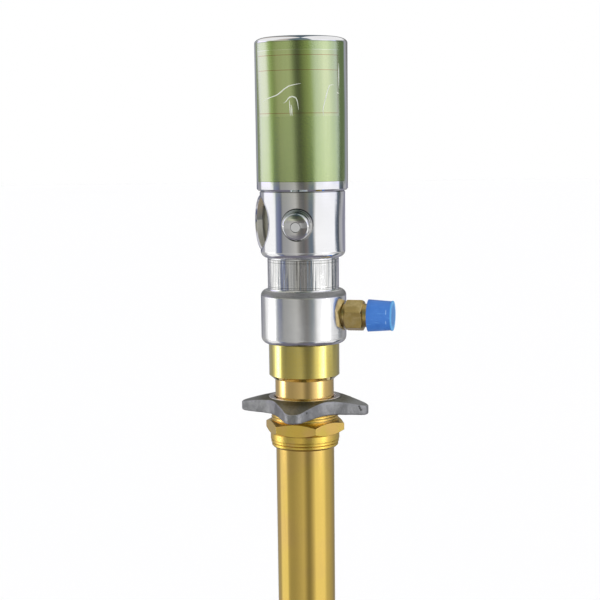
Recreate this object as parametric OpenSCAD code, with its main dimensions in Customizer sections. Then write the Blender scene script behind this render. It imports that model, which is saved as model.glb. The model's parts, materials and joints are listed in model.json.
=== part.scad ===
// Air-operated oil pump for a drum: air motor on top, outlet body below it, a long suction tube
// and a drum adapter that slides on the tube. Millimetres, +Z up.
// The origin lies on the pump's axis, on the underside of the adapter's hexagon.

/* [Stack of the pump head] */
// Height of the coupling's lower face above the adapter's seat
standoff = 41.6; // [36:0.2:60]
// Height of the coupling that holds the suction tube
coupling_h = 27; // [24:0.5:32]
// Height of the outlet body without its neck
outlet_h = 40.4; // [38:0.2:46]
// Height of the neck between outlet body and valve body
neck_h = 23.4; // [20:0.2:30]
// Height of the valve body's wide part
body_h = 47.8; // [46:0.2:54]
// Height of the turned groove between valve body and motor shell
groove_h = 1; // [0.8:0.1:3]
// Height of the motor shell
shell_h = 107.6; // [90:0.2:140]

/* [Motor shell] */
// Outside diameter of the motor shell
shell_d = 67.2; // [66:0.1:72]
// Wall of the motor shell
shell_wall = 1.8; // [1.5:0.1:1.9]
// Thickness of the shell's closed top
crown_t = 4; // [3:0.5:6]
// Height of the shell's rounded top edge
shell_edge = 4; // [2:0.1:5]
// Width of that rounded edge, measured inwards
shell_edge_w = 8; // [4:0.5:10]
// Chamfer at the shell's lower edge
shell_lip = 1.2; // [0.4:0.1:1.6]
// Height of the bare band below the label
band_h = 6.6; // [3:0.1:8]
// Thickness of the label foils
foil_t = 0.15; // [0.1:0.05:0.3]
// Turn of the shell label's left edge, counted from the front
label_left_turn = -72; // [-85:1:-60]
// Turn of its right edge, counted from the front
label_right_turn = 64; // [55:1:85]

/* [Air cylinder] */
// Air gap between the cylinder liner and the shell
liner_gap = 1.1; // [0.8:0.1:1.6]
// Wall of the cylinder liner
liner_wall = 1.2; // [1:0.1:1.5]
// Number of air notches in the liner's upper rim
notch_count = 8; // [4:1:12]
// Width of a notch
notch_w = 6; // [4:0.5:8]
// Height of a notch
notch_h = 3; // [2:0.5:4]
// Thickness of the base plate under the piston
base_t = 5; // [4.6:0.1:7]
// Thickness of the rubber bumpers at the ends of the stroke
bumper_t = 1.6; // [1:0.1:3]
// Distance of the bumpers from the cylinder's bore
bumper_inset = 10.5; // [9.5:0.5:12]
// Width of the bumper rings
bumper_w = 5; // [4:0.5:7]
// Air left between piston and bumper at each end of the stroke
piston_play = 1; // [0.6:0.1:2]

/* [Air piston] */
// Thickness of the air piston
piston_t = 11; // [9.5:0.5:14]
// Section of the piston seal
piston_seal_w = 3.1; // [2.6:0.1:3.6]
// Depth of the nut's recess in the piston
recess_h = 6; // [5.4:0.1:7]
// Width across flats of the piston nut
piston_nut_af = 19; // [17:1:22]
// Height of the piston nut
piston_nut_h = 5; // [4:0.2:5.2]
// Diameter of the piston rod
rod_d = 14; // [12:0.5:15]
// Diameter of the rod's thread in the piston
rod_thread_d = 10; // [8:0.5:11]

/* [Base plate fastening] */
// Number of screws in the base plate
screw_count = 3; // [3:1:3]
// Distance of the screws' axes from the cylinder's bore
screw_inset = 6.5; // [5.5:0.5:7.5]
// Turn of the first screw
screw_turn = 20; // [15:1:25]
// Diameter of a base plate screw
screw_d = 4; // [3:0.5:5]
// Diameter of its head
screw_head_d = 7; // [6:0.5:8]
// Height of its head
screw_head_h = 2.6; // [2:0.2:3]
// Width of the hexagon socket in the head
screw_socket_af = 2.5; // [2:0.5:3]
// Depth of the hexagon socket
screw_socket_h = 1.4; // [1:0.2:1.6]
// Length of the screw below its head
screw_l = 10; // [8:0.5:12]

/* [Valve body] */
// Step inwards from the motor shell to the valve body
body_step = 2.1; // [1:0.1:2.8]
// Radius of its lower edge
body_edge = 5; // [3:0.5:6]
// Height of the spigot that carries the shell
spigot_h = 12; // [11:0.5:16]
// Height of the air channel turned into the spigot's top
channel_h = 4.4; // [3.8:0.1:4.6]
// Depth of the groove turned below the shell
groove_depth = 0.5; // [0.3:0.1:1]
// Section of the body's sealing rings
seal_w = 2.4; // [2:0.1:2.8]
// Diameter of the rod's lip seal
rod_seal_d = 21; // [19:0.5:23]
// Height of the rod's lip seal
rod_seal_h = 4.5; // [4:0.1:5.5]
// Outside diameter of the bronze rod bush
bush_d = 19; // [18:0.5:21]
// Air around the rod inside the valve body
rod_relief = 0.8; // [0.5:0.1:1]

/* [Exhaust port] */
// Direction of the exhaust port, counted from the outlet side
exhaust_turn = 195; // [185:1:200]
// Distance of its axis from the pump's axis, towards the back
exhaust_shift = 8; // [7:0.1:9]
// Height of its axis above the valve body's lower face
exhaust_rise = 25.6; // [24:0.2:26]
// Bore of the exhaust port
exhaust_d = 37; // [32:0.5:37.5]
// Wall of the boss around the exhaust port
exhaust_wall = 1.6; // [1.4:0.1:2]
// Distance of the port's mouth inwards from the valve body's round side
exhaust_inset = 2; // [1.6:0.1:2.4]
// Chamfer at the mouth of the exhaust port
exhaust_lip = 1; // [0.6:0.1:1.3]
// Wall between the neck's thread and the exhaust chamber's floor
exhaust_back = 1; // [0.6:0.2:2.6]
// Thickness of the silencer disc
silencer_t = 2; // [2:0.5:4]
// Thickness of the silencer's retaining ring
clip_t = 1.1; // [0.9:0.1:1.3]
// Width of the silencer's retaining ring
clip_w = 1.2; // [1:0.2:3]
// Depth of the retaining ring's groove
clip_groove = 0.6; // [0.4:0.1:0.8]

/* [Air inlet] */
// Direction of the air inlet
inlet_turn = 12; // [8:1:18]
// Height of its axis above the valve body's lower face
inlet_rise = 22.1; // [20:0.5:26]
// Diameter of the recess around the air inlet
inlet_recess_d = 19.2; // [19:0.1:20]
// Depth of that recess
inlet_recess_h = 9.5; // [7.5:0.5:10.5]
// Length of the inlet bush's thread in the body
inlet_shank_l = 9; // [8:0.5:10]
// Diameter of the inlet bush's thread in the body
inlet_shank_d = 16.6; // [15:0.1:17]
// Diameter of the inlet bush's flange
inlet_flange_d = 18.6; // [18:0.1:18.8]
// Thickness of the inlet bush's flange
inlet_flange_t = 6; // [4:0.5:7]
// Core diameter of the inlet's quarter-inch pipe thread
inlet_thread_d = 11.44; // [11:0.02:12]
// Depth of the air chamber behind the inlet bush
inlet_chamber = 4; // [3.6:0.1:4.2]
// Diameter of that chamber
inlet_chamber_d = 9; // [7:0.2:10]
// Chamfer at the mouth of the inlet thread
inlet_lip = 1; // [0.5:0.1:1.2]

/* [Pilot plug] */
// Direction of the pilot plug
plug_turn = 262; // [258:0.5:266]
// Height where the plug's axis crosses the pump's axis, above the valve body's lower face
plug_rise = 29.5; // [27:0.5:31]
// Downward tilt of the plug
plug_tilt = 8; // [0:0.5:10]
// Diameter of the spot face around the plug
plug_recess_d = 23.4; // [23:0.2:24]
// Depth of the spot face
plug_recess_h = 4; // [2.5:0.25:4.5]
// Diameter of the plug's round head
plug_head_d = 19.4; // [18:0.2:20]
// Radius of the head's rounded edge
plug_edge = 1.8; // [1:0.2:2.4]
// Diameter of the flange below the head
plug_flange_d = 22.2; // [21:0.2:22.4]
// Thickness of that flange
plug_flange_t = 3; // [2:0.5:4]
// Height of the plug's head
plug_head_h = 12; // [9:0.5:13]
// Height of the dome on the head's face
plug_dome_h = 1; // [0.3:0.1:1.4]
// Diameter of the plug's thread
plug_thread_d = 13.2; // [11:0.1:13.6]
// Length of the plug's thread
plug_thread_l = 6.5; // [6:0.5:7]
// Diameter of the dimple in the plug's head
plug_dimple_d = 7.2; // [6:0.2:8]
// Depth of the dimple
plug_dimple_h = 0.5; // [0.4:0.1:2]
// Thickness of the plug's sealing washer
plug_washer_t = 1; // [0.8:0.1:1.5]
// Width of the plug's sealing washer
plug_washer_w = 2.6; // [2:0.2:2.8]

/* [Valve spool] */
// Direction of the spool's bore
spool_turn = 310; // [306:1:314]
// Wall between the spool's bore and the rod seal's pocket
spool_wall = 0.75; // [0.5:0.25:1.5]
// Diameter of the spool's bore
spool_bore_d = 13; // [11:0.5:13.5]
// Length of the spool
spool_l = 30; // [28:0.5:32]
// Travel of the spool
spool_travel = 6; // [5:0.5:7]
// Diameter of the spool's waist
spool_waist_d = 7; // [6:0.5:8]
// Height of the stub that the spool rests on
spool_stub = 3; // [2.6:0.1:3.2]
// Number of lands on the spool
spool_lands = 4; // [4:1:4]
// Width of a land
spool_land_w = 4; // [3.4:0.1:4.4]
// Section of the spool's sealing rings
spool_seal_w = 1.8; // [1.6:0.1:2]
// Diameter of the air galleries
gallery_d = 3; // [2.4:0.1:3.2]
// Diameter of the small pilot gallery
pilot_d = 2; // [1.4:0.1:2.2]

/* [Outlet body] */
// Diameter of the outlet body
outlet_d = 64; // [62:0.5:66]
// Radius of its edges
outlet_edge = 5; // [3:0.5:6]
// Diameter of the neck
neck_d = 52.8; // [50:0.2:54]
// Height left bare above and below the neck's label
neck_bare = 0.8; // [0.4:0.1:2]
// Diameter of the neck's thread in the valve body
neck_thread_d = 40; // [38:0.5:42]
// Length of the neck's thread in the valve body
neck_thread_l = 11.5; // [10:0.5:12]
// Diameter of the oil chamber
chamber_d = 37; // [35:0.5:38]
// Thickness of metal between oil chamber and packing
chamber_roof = 6; // [5:0.5:8]
// Diameter of the rod packing
packing_d = 24; // [22:0.5:26]
// Number of packing rings
packing_count = 4; // [3:1:5]
// Height of a packing ring
packing_ring_h = 3.4; // [3:0.1:4]
// Thickness of the washer under the packing
packing_washer_t = 2; // [1.5:0.1:3]
// Height of the gland nut
gland_h = 11; // [9:0.5:12]
// Diameter of the two spanner holes in the gland nut
gland_hole_d = 3; // [2:0.2:3.4]

/* [Outlet nipple] */
// Turn of the outlet towards the front
outlet_turn = -13.4; // [-20:0.2:0]
// Height of the outlet's axis above the outlet body's lower face
outlet_rise = 20.9; // [19:0.1:23]
// Diameter of the spot face at the outlet
spot_d = 21; // [20:0.2:24]
// Distance of the spot face from the pump's axis
spot_reach = 31.4; // [30.5:0.1:31.6]
// Diameter of the nipple's thread in the outlet body
nipple_in_d = 16.6; // [15:0.1:17]
// Length of that thread inside the spot face
nipple_in_l = 11; // [9:0.5:11.5]
// Length of thread left bare between spot face and hexagon
nipple_gap = 1.3; // [1:0.1:4]
// Width across flats of the nipple's hexagon
nipple_af = 21; // [21:0.5:24]
// Length of the nipple's hexagon
nipple_hex_l = 13.3; // [10:0.1:18]
// Length of the undercut behind the outlet thread
undercut_l = 3.5; // [1:0.1:4]
// Diameter of the undercut
undercut_d = 17.4; // [16:0.1:18]
// Outside diameter of the half-inch pipe thread at the outlet
outlet_thread_d = 20.96; // [20:0.02:21.4]
// Length of the outlet thread
outlet_thread_l = 14; // [12:0.5:16]
// Bore of the nipple
nipple_bore_d = 11; // [9:0.5:12]
// Turn of the nipple's hexagon about its own axis
nipple_roll = 14; // [0:1:30]

/* [Protective cap] */
// Outside diameter at the cap's open end
cap_d = 23.9; // [23.7:0.1:26]
// Outside diameter at the cap's closed end
cap_end_d = 21.6; // [21.6:0.1:24]
// Length of the cap
cap_l = 18.4; // [18:0.1:26]
// Thickness of the cap's closed end
cap_end_t = 1.6; // [1.2:0.1:3]
// Height of the lip around the closed end
cap_lip = 0.3; // [0.1:0.1:0.6]
// Distance that the cap stands off the hexagon
cap_gap = 3.5; // [2:0.1:4]
// Clearance between cap and thread
cap_clearance = 0.12; // [0.1:0.01:0.15]

/* [Coupling] */
// Diameter of the coupling
coupling_d = 53.2; // [51:0.2:56]
// Chamfer at its lower edge, measured inwards
coupling_lip = 3.6; // [1:0.1:4]
// Diameter of its thread in the outlet body
coupling_thread_d = 45; // [44:0.2:47]
// Length of its thread in the outlet body
coupling_thread_l = 12; // [10:0.5:14]

/* [Suction tube] */
// Outside diameter of the suction tube
tube_d = 44.45; // [43:0.05:46]
// Wall of the suction tube
tube_wall = 2; // [1.6:0.1:2.4]
// Length of the suction tube
tube_l = 940; // [700:10:1200]
// Length of the tube inside the coupling
tube_engage = 18; // [12:1:20]

/* [Pump rods] */
// Diameter of the sleeve that joins the two rods
sleeve_d = 20; // [18:0.5:24]
// Length of the sleeve
sleeve_l = 30; // [24:1:36]
// Length of each rod inside the sleeve
rod_engage = 13; // [10:0.5:14]
// Room left above the sleeve at the top of the stroke
sleeve_play = 3; // [2:0.5:6]
// Diameter of the long pump rod
pump_rod_d = 12; // [10:0.5:14]
// Diameter of the cross pins in the sleeve
pin_d = 3; // [2:0.5:4]

/* [Plunger] */
// Bore of the pump barrel
barrel_bore_d = 35; // [34:0.2:36]
// Length of the plunger
plunger_l = 36; // [34:0.5:42]
// Length of the plunger's wide part
plunger_head_l = 12; // [11.5:0.5:12.5]
// Diameter of the plunger's stem
stem_d = 24; // [22:0.5:26]
// Number of plunger seals
plunger_seal_count = 2; // [1:1:2]
// Diameter of the plunger's valve seat
plunger_seat_d = 10; // [9:0.2:11]
// Height of the plunger's valve seat
plunger_seat_h = 4; // [3:0.2:5]
// Diameter of the plunger's ball
plunger_ball_d = 14; // [13:0.2:15]
// Lift of the plunger's ball
plunger_lift = 3; // [2:0.2:3.5]
// Number of oil windows in the plunger's stem
window_count = 4; // [3:1:6]
// Diameter of an oil window
window_d = 6; // [5:0.2:7]
// Gap between plunger and foot valve at the bottom of the stroke
plunger_play = 4; // [3:0.5:8]

/* [Foot valve] */
// Length of the foot valve inside the tube
foot_h = 32; // [30:0.5:36]
// Height of the foot valve's flange
foot_flange_h = 8; // [6:0.5:10]
// Diameter of the foot valve's seat
foot_seat_d = 16; // [15:0.2:18]
// Diameter of the foot valve's ball
foot_ball_d = 22; // [21:0.2:24]
// Lift of the foot valve's ball
foot_lift = 4; // [3:0.2:4]
// Clearance around the foot valve's ball
foot_clearance = 2; // [1.5:0.1:2.5]
// Diameter of the pin that stops the ball
stop_pin_d = 4; // [3:0.5:5]
// Height of the strainer below the flange
strainer_h = 16; // [12:0.5:24]
// Wall of the strainer
strainer_wall = 1.2; // [1:0.1:1.6]
// Number of holes around the strainer
strainer_holes = 12; // [8:1:16]
// Diameter of a strainer hole
strainer_hole_d = 5; // [4:0.2:6]
// Height of the spigot inside the strainer
strainer_spigot_h = 4; // [3:0.5:6]

/* [Drum adapter] */
// Width across flats of the adapter's hexagon
adapter_af = 53.4; // [53:0.1:55]
// Height of the adapter's hexagon
adapter_hex_h = 10; // [8:0.5:12]
// Turn of the hexagon's first corner
adapter_turn = 284.9; // [270:0.1:330]
// Diameter of the spigot that goes into the drum
drum_spigot_d = 52.6; // [52:0.1:53.6]
// Length of its plain part
drum_spigot_l = 4.6; // [4:0.1:8]
// Height of each of its two rings
ring_h = 1.7; // [1.2:0.1:2.2]
// Height of the groove above each ring
ring_gap = 0.7; // [0.5:0.1:1]
// Depth of the first groove
ring_depth = 0.9; // [0.6:0.1:1.2]
// Step inwards from the plain part to the rings
ring_inset = 0.4; // [0.3:0.1:0.5]
// Height of the cone at the spigot's end
drum_cone_h = 1.4; // [1:0.1:3]
// Diameter of the thread that carries the star nut
star_thread_d = 50.2; // [49.6:0.1:50.8]
// Height of that thread above the hexagon
star_thread_l = 12; // [11:0.5:14]
// Clearance between tube and adapter
tube_clearance = 0.25; // [0.15:0.01:0.3]

/* [Star nut] */
// Distance of a lobe's tip from the axis
star_r = 49; // [46:0.5:54]
// Radius of a lobe's tip
star_tip_r = 7.5; // [6:0.5:8]
// Distance of the hollows between the lobes from the axis
star_waist_r = 30.5; // [29.5:0.5:34]
// Radius of those hollows
star_hollow_r = 30; // [20:1:50]
// Turn of the star nut
star_turn = -11.5; // [-45:0.1:45]
// Height of the star nut's hub
star_h = 11.2; // [8:0.1:12]
// Height of a lobe at its tip
star_tip_h = 6.9; // [4:0.1:7.4]
// Drop of the lobe's top face from hub to tip
star_droop = 6.7; // [2:0.1:8]
// Distance from the axis where the lobes begin to drop
star_flat_r = 27.4; // [27:0.2:34]
// Height of the star nut's underside above the hexagon
star_gap = 6.8; // [6:0.1:10]
// Thickness of the star nut's top plate
star_plate_t = 2.6; // [2:0.1:3]
// Clearance of the star nut's mouth around the tube
star_mouth = 1.1; // [0.8:0.1:1.4]

/* [Hidden] */
$fn = 72;
// Clearance of pieces that are screwed or pushed together
fit = 0.05;
// Clearance of pieces that move on each other
run = 0.1;
// Length by which a cut runs past the solid it cuts
overrun = 1;
// Tilt of the chamfers on hexagons
chamfer_angle = 30;
// Share of a hexagon's width that its chamfered faces keep
chamfer_share = 0.98;
// Turn from the exhaust's axis to the gallery that ends in its chamber
return_turn = 15;

// Radii
shell_r = shell_d / 2;
shell_in_r = shell_r - shell_wall;
liner_r = shell_in_r - liner_gap;
bore_r = liner_r - liner_wall;
bumper_r = bore_r - bumper_inset;
rod_r = rod_d / 2;
body_r = shell_r - body_step;
spigot_r = shell_in_r - fit;
bush_r = bush_d / 2;
rod_seal_r = rod_seal_d / 2;
outlet_r = outlet_d / 2;
neck_r = neck_d / 2;
neck_thread_r = neck_thread_d / 2;
chamber_r = chamber_d / 2;
packing_r = packing_d / 2;
coupling_r = coupling_d / 2;
coupling_thread_r = coupling_thread_d / 2;
tube_r = tube_d / 2;
tube_bore_r = tube_r - tube_wall;
pump_rod_r = pump_rod_d / 2;
barrel_r = tube_bore_r - fit;
barrel_bore_r = barrel_bore_d / 2;
exhaust_r = exhaust_d / 2;
exhaust_reach = body_r - exhaust_inset;
exhaust_floor = neck_thread_r + exhaust_back;
inlet_floor = body_r - inlet_recess_h;
inlet_inner = inlet_floor - inlet_shank_l;
plug_floor = body_r - plug_recess_h;
adapter_bore_r = tube_r + tube_clearance;
drum_spigot_r = drum_spigot_d / 2;
star_thread_r = star_thread_d / 2;
spool_bore_r = spool_bore_d / 2;
spool_r = spool_bore_r - run;
spool_offset = rod_seal_r + spool_wall + spool_bore_r;
piston_r = bore_r - run;

// Heights on the axis, from the coupling upwards
outlet_z = standoff + coupling_h;
outlet_top_z = outlet_z + outlet_h;
body_z = outlet_top_z + neck_h;
body_top_z = body_z + body_h;
shell_z = body_top_z + groove_h;
shell_top_z = shell_z + shell_h;
head_z = shell_top_z - crown_t;
spigot_top_z = body_top_z + spigot_h;
base_top_z = spigot_top_z + base_t;
piston_z = base_top_z + bumper_t + piston_play;
stroke = head_z - bumper_t - piston_play - piston_t - piston_z;
label_z = shell_z + band_h;
label_h = shell_top_z - shell_edge - label_z;
neck_top_z = body_z + neck_thread_l;
chamber_top_z = outlet_top_z - chamber_roof / 2;
packing_z = chamber_top_z + chamber_roof;
packing_pitch = packing_ring_h + fit;
packing_top_z = packing_z + packing_washer_t + packing_count * packing_pitch;

// Heights on the axis, from the tube's top downwards
tube_top_z = standoff + tube_engage;
tube_bottom_z = tube_top_z - tube_l;
foot_top_z = tube_bottom_z + foot_h;
plunger_z = foot_top_z + plunger_play;
barrel_l = plunger_play + plunger_head_l + stroke + plunger_play;
sleeve_top_z = chamber_top_z - sleeve_play - stroke;
sleeve_z = sleeve_top_z - sleeve_l;

// Star nut and clamp
star_z = adapter_hex_h + star_gap;
star_top_z = star_z + star_h;
star_plate_z = star_top_z - star_plate_t;
star_thread_z = adapter_hex_h + star_thread_l;

// Points on an oval arc around a centre; size gives its half width and half height
function oval(centre, size, from, to, steps = 8) =
    [for (i = [0:steps]) let (a = from + (to - from) * i / steps)
        centre + [size.x * cos(a), size.y * sin(a)]];

function arc(centre, r, from, to, steps = 8) = oval(centre, [r, r], from, to, steps);

function turned_point(r, turn) = [r * cos(turn), r * sin(turn)];

// Outline of a plain bar whose outer edges are rounded
function bar_outline(r, z, h, low, high) = concat(
    [[0, z]],
    low > 0 ? arc([r - low, z + low], low, -90, 0) : [[r, z]],
    high > 0 ? arc([r - high, z + h - high], high, 0, 90) : [[r, z + h]],
    [[0, z + h]]);

module ring(r_in, r_out, z, h) {
    translate([0, 0, z]) difference() {
        cylinder(r = r_out, h = h);
        translate([0, 0, -overrun]) cylinder(r = r_in, h = h + 2 * overrun);
    }
}

module disc(r, z, h) {
    translate([0, 0, z]) cylinder(r = r, h = h);
}

// Rubber ring of round section, given by its outer radius
module o_ring(r_out, w, z) {
    translate([0, 0, z]) rotate_extrude() translate([r_out - w / 2, 0]) circle(d = w);
}

// Groove for such a ring, cut into a shaft
module shaft_groove(r_shaft, r_out, w, z) {
    groove_w = w + 4 * fit;
    ring(r_out - w - fit, r_shaft + overrun, z - groove_w / 2, groove_w);
}

// Round hole between two points
module drill(from, to, d) {
    run_to = to - from;
    translate(from)
        rotate([0, acos(run_to.z / norm(run_to)), atan2(run_to.y, run_to.x)])
            cylinder(d = d, h = norm(run_to));
}

// Hexagon bar with chamfered ends; low and high say which ends are chamfered
module hex_bar(af, z, h, low = true, high = true) {
    corner_r = af / 2 / cos(30);
    face_r = af / 2 * chamfer_share;
    drop = (corner_r - face_r) * tan(chamfer_angle);
    out = corner_r + drop;
    out_drop = drop + drop * tan(chamfer_angle);
    intersection() {
        translate([0, 0, z]) cylinder(r = corner_r, h = h, $fn = 6);
        rotate_extrude() polygon(concat(
            [[0, z]],
            low ? [[face_r, z], [out, z + out_drop]] : [[out, z]],
            high ? [[out, z + h - out_drop], [face_r, z + h]] : [[out, z + h]],
            [[0, z + h]]));
    }
}

// Frame of a port: its local +Z runs outwards from the pump's axis
module at_port(z, turn, tilt = 0) {
    translate([0, 0, z]) rotate([0, 0, turn]) rotate([0, 90 + tilt, 0]) children();
}

module at_exhaust() {
    at_port(body_z + exhaust_rise, exhaust_turn) translate([0, -exhaust_shift, 0]) children();
}

module at_inlet() {
    at_port(body_z + inlet_rise, inlet_turn) children();
}

module at_plug() {
    at_port(body_z + plug_rise, plug_turn, plug_tilt) children();
}

module at_outlet() {
    at_port(outlet_z + outlet_rise, outlet_turn) children();
}

module at_spool() {
    rotate([0, 0, spool_turn]) translate([spool_offset, 0, 0]) children();
}

// Point in the valve body: turn, distance from the axis, height
function place(turn, r, z) = [r * cos(turn), r * sin(turn), z];

// Air motor

module motor_shell() {
    color("silver") rotate_extrude() polygon(concat(
        [[shell_in_r, shell_z], [shell_r - shell_lip, shell_z], [shell_r, shell_z + shell_lip]],
        oval([shell_r - shell_edge_w, shell_top_z - shell_edge], [shell_edge_w, shell_edge], 0, 90, 12),
        [[0, shell_top_z], [0, head_z], [shell_in_r, head_z]]));
}

module shell_label() {
    wedge_r = 2 * shell_d;
    color("olivedrab") intersection() {
        ring(shell_r + fit, shell_r + fit + foil_t, label_z, label_h);
        rotate([0, 0, -90]) linear_extrude(height = shell_top_z) polygon([
            [0, 0], turned_point(wedge_r, label_left_turn),
            turned_point(wedge_r, (label_left_turn + label_right_turn) / 2),
            turned_point(wedge_r, label_right_turn)]);
    }
}

module cylinder_liner() {
    liner_h = head_z - spigot_top_z;
    color("gainsboro") difference() {
        ring(bore_r, liner_r, spigot_top_z, liner_h);
        for (i = [0:notch_count - 1])
            rotate([0, 0, i * 360 / notch_count])
                translate([0, -notch_w / 2, head_z - notch_h])
                    cube([liner_r + overrun, notch_w, notch_h + overrun]);
    }
}

module bumper(z) {
    color("dimgray") ring(bumper_r - bumper_w, bumper_r, z, bumper_t);
}

module top_bumper() {
    bumper(head_z - bumper_t);
}

module base_bumper() {
    bumper(base_top_z);
}

// The places of the base plate's screws
module at_screws() {
    for (i = [0:screw_count - 1])
        rotate([0, 0, screw_turn + i * 360 / screw_count])
            translate([bore_r - screw_inset, 0, 0]) children();
}

module base_plate() {
    head_seat_z = base_top_z - screw_head_h - fit;
    color("lightgray") difference() {
        disc(bore_r - fit, spigot_top_z, base_t);
        disc(bush_r, spigot_top_z - overrun, base_t + 2 * overrun);
        at_screws() {
            disc(screw_d / 2 + fit, spigot_top_z - overrun, base_t + 2 * overrun);
            disc(screw_head_d / 2 + fit, head_seat_z, screw_head_h + overrun);
        }
        rotate([0, 0, lower_gallery_turn]) translate([lower_gallery_r, 0, 0])
            disc(gallery_d / 2, spigot_top_z - overrun, base_t + 2 * overrun);
    }
}

module base_screws() {
    head_seat_z = base_top_z - screw_head_h;
    color("dimgray") at_screws() difference() {
        union() {
            disc(screw_head_d / 2, head_seat_z, screw_head_h);
            disc(screw_d / 2, head_seat_z - screw_l, screw_l + fit);
        }
        translate([0, 0, base_top_z - screw_socket_h])
            cylinder(d = screw_socket_af / cos(30), h = screw_socket_h + overrun, $fn = 6);
    }
}

module rod_bush() {
    color("darkgoldenrod") ring(rod_r + fit, bush_r - fit, spigot_top_z, base_t);
}

// Lip seal with a groove in its lower face
module rod_seal() {
    seal_z = spigot_top_z - rod_seal_h;
    lip_w = (rod_seal_r - rod_r) / 3;
    color("black") difference() {
        ring(rod_r + fit, rod_seal_r - fit, seal_z + fit, rod_seal_h - 2 * fit);
        ring(rod_r + lip_w, rod_seal_r - lip_w, seal_z - overrun, rod_seal_h / 2 + overrun);
    }
}

shell_seal_z = (shell_z + spigot_top_z - channel_h) / 2;

module shell_seal() {
    color("black") o_ring(shell_in_r, seal_w, shell_seal_z);
}

// Air piston and rod

piston_seal_z = piston_z + piston_t / 2;

module air_piston() {
    color("silver") difference() {
        disc(piston_r, piston_z, piston_t);
        disc(rod_thread_d / 2 + fit, piston_z - overrun, piston_t + 2 * overrun);
        disc(piston_nut_af / 2 / cos(30) + run, piston_z + piston_t - recess_h, recess_h + overrun);
        shaft_groove(piston_r, bore_r - fit, piston_seal_w, piston_seal_z);
    }
}

module piston_seal() {
    color("black") o_ring(bore_r - fit, piston_seal_w, piston_seal_z);
}

module piston_nut() {
    nut_z = piston_z + piston_t - recess_h;
    color("gray") difference() {
        hex_bar(piston_nut_af, nut_z, piston_nut_h, low = false);
        disc(rod_thread_d / 2 + fit, nut_z - overrun, piston_nut_h + 2 * overrun);
    }
}

module piston_rod() {
    rod_end_z = sleeve_top_z - rod_engage;
    thread_top_z = piston_z + piston_t - recess_h + piston_nut_h;
    color("lightsteelblue") difference() {
        union() {
            disc(rod_r, rod_end_z, piston_z - rod_end_z);
            disc(rod_thread_d / 2, piston_z - fit, thread_top_z - piston_z + fit);
        }
        cross_pin_hole(sleeve_top_z - rod_engage / 2);
    }
}

// Valve body

inlet_z = body_z + inlet_rise;
spool_z = spigot_top_z - spool_travel - spool_l - fit;
spool_bore_z = spool_z - spool_stub - fit;
spool_pitch = (spool_l - spool_land_w) / (spool_lands - 1);
supply_z = spool_z + spool_l / 2;
return_z = supply_z - spool_pitch;
lower_gallery_turn = 340;
lower_gallery_r = (bumper_r + bore_r) / 2;
upper_gallery_z = spigot_top_z - channel_h / 2;
lower_gallery_z = body_top_z;

module valve_body_outside() {
    rotate_extrude() polygon(concat(
        arc([body_r - body_edge, body_z + body_edge], body_edge, -90, 0),
        [[body_r, body_top_z],
         [body_r - groove_depth, body_top_z],
         [body_r - groove_depth, shell_z],
         [spigot_r, shell_z],
         [spigot_r, spigot_top_z - channel_h],
         [liner_r, spigot_top_z - channel_h],
         [liner_r, spigot_top_z],
         [0, spigot_top_z],
         [0, body_z]]));
    at_exhaust() cylinder(r = exhaust_r + exhaust_wall, h = exhaust_reach);
}

module exhaust_cuts() {
    at_exhaust() {
        translate([0, 0, exhaust_reach])
            cylinder(r = exhaust_r + exhaust_wall + run, h = exhaust_reach);
        translate([0, 0, exhaust_floor]) cylinder(r = exhaust_r, h = exhaust_reach);
        translate([0, 0, exhaust_reach - exhaust_lip])
            cylinder(r1 = exhaust_r, r2 = exhaust_r + exhaust_lip + overrun,
                     h = exhaust_lip + overrun);
        translate([0, 0, exhaust_floor + silencer_t + 2 * fit])
            cylinder(r = exhaust_r + clip_groove, h = clip_t + 2 * fit);
    }
}

module inlet_cuts() {
    at_inlet() {
        translate([0, 0, inlet_inner - inlet_chamber]) cylinder(d = inlet_chamber_d, h = body_r);
        translate([0, 0, inlet_inner - fit]) cylinder(d = inlet_shank_d + 2 * fit, h = body_r);
        translate([0, 0, inlet_floor]) cylinder(d = inlet_recess_d, h = body_r);
    }
    drill(place(inlet_turn, inlet_inner - inlet_chamber / 2, inlet_z),
          place(spool_turn, spool_offset, supply_z), gallery_d);
}

module plug_cuts() {
    thread_floor = plug_floor - plug_thread_l - plug_washer_t;
    at_plug() {
        translate([0, 0, plug_floor]) cylinder(d = plug_recess_d, h = body_r);
        translate([0, 0, thread_floor]) cylinder(d = plug_thread_d + 2 * fit, h = body_r);
    }
    pilot_start = thread_floor + plug_washer_t / 2;
    drill(place(plug_turn, pilot_start * cos(plug_tilt),
                body_z + plug_rise - pilot_start * sin(plug_tilt)),
          place(spool_turn, spool_offset, spool_z - spool_stub / 2), pilot_d);
}

module gallery_cuts() {
    drill(place(spool_turn, spool_offset, return_z),
          place(exhaust_turn + return_turn, (exhaust_floor + overrun) / cos(return_turn),
                return_z), gallery_d);
    drill(place(spool_turn, spool_offset, upper_gallery_z),
          place(spool_turn, shell_in_r, upper_gallery_z), gallery_d);
    drill(place(spool_turn, spool_offset, lower_gallery_z),
          place(lower_gallery_turn, lower_gallery_r, lower_gallery_z), pilot_d);
    rotate([0, 0, lower_gallery_turn]) translate([lower_gallery_r, 0, lower_gallery_z - pilot_d])
        cylinder(d = gallery_d, h = spigot_h + pilot_d + overrun);
}

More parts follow.
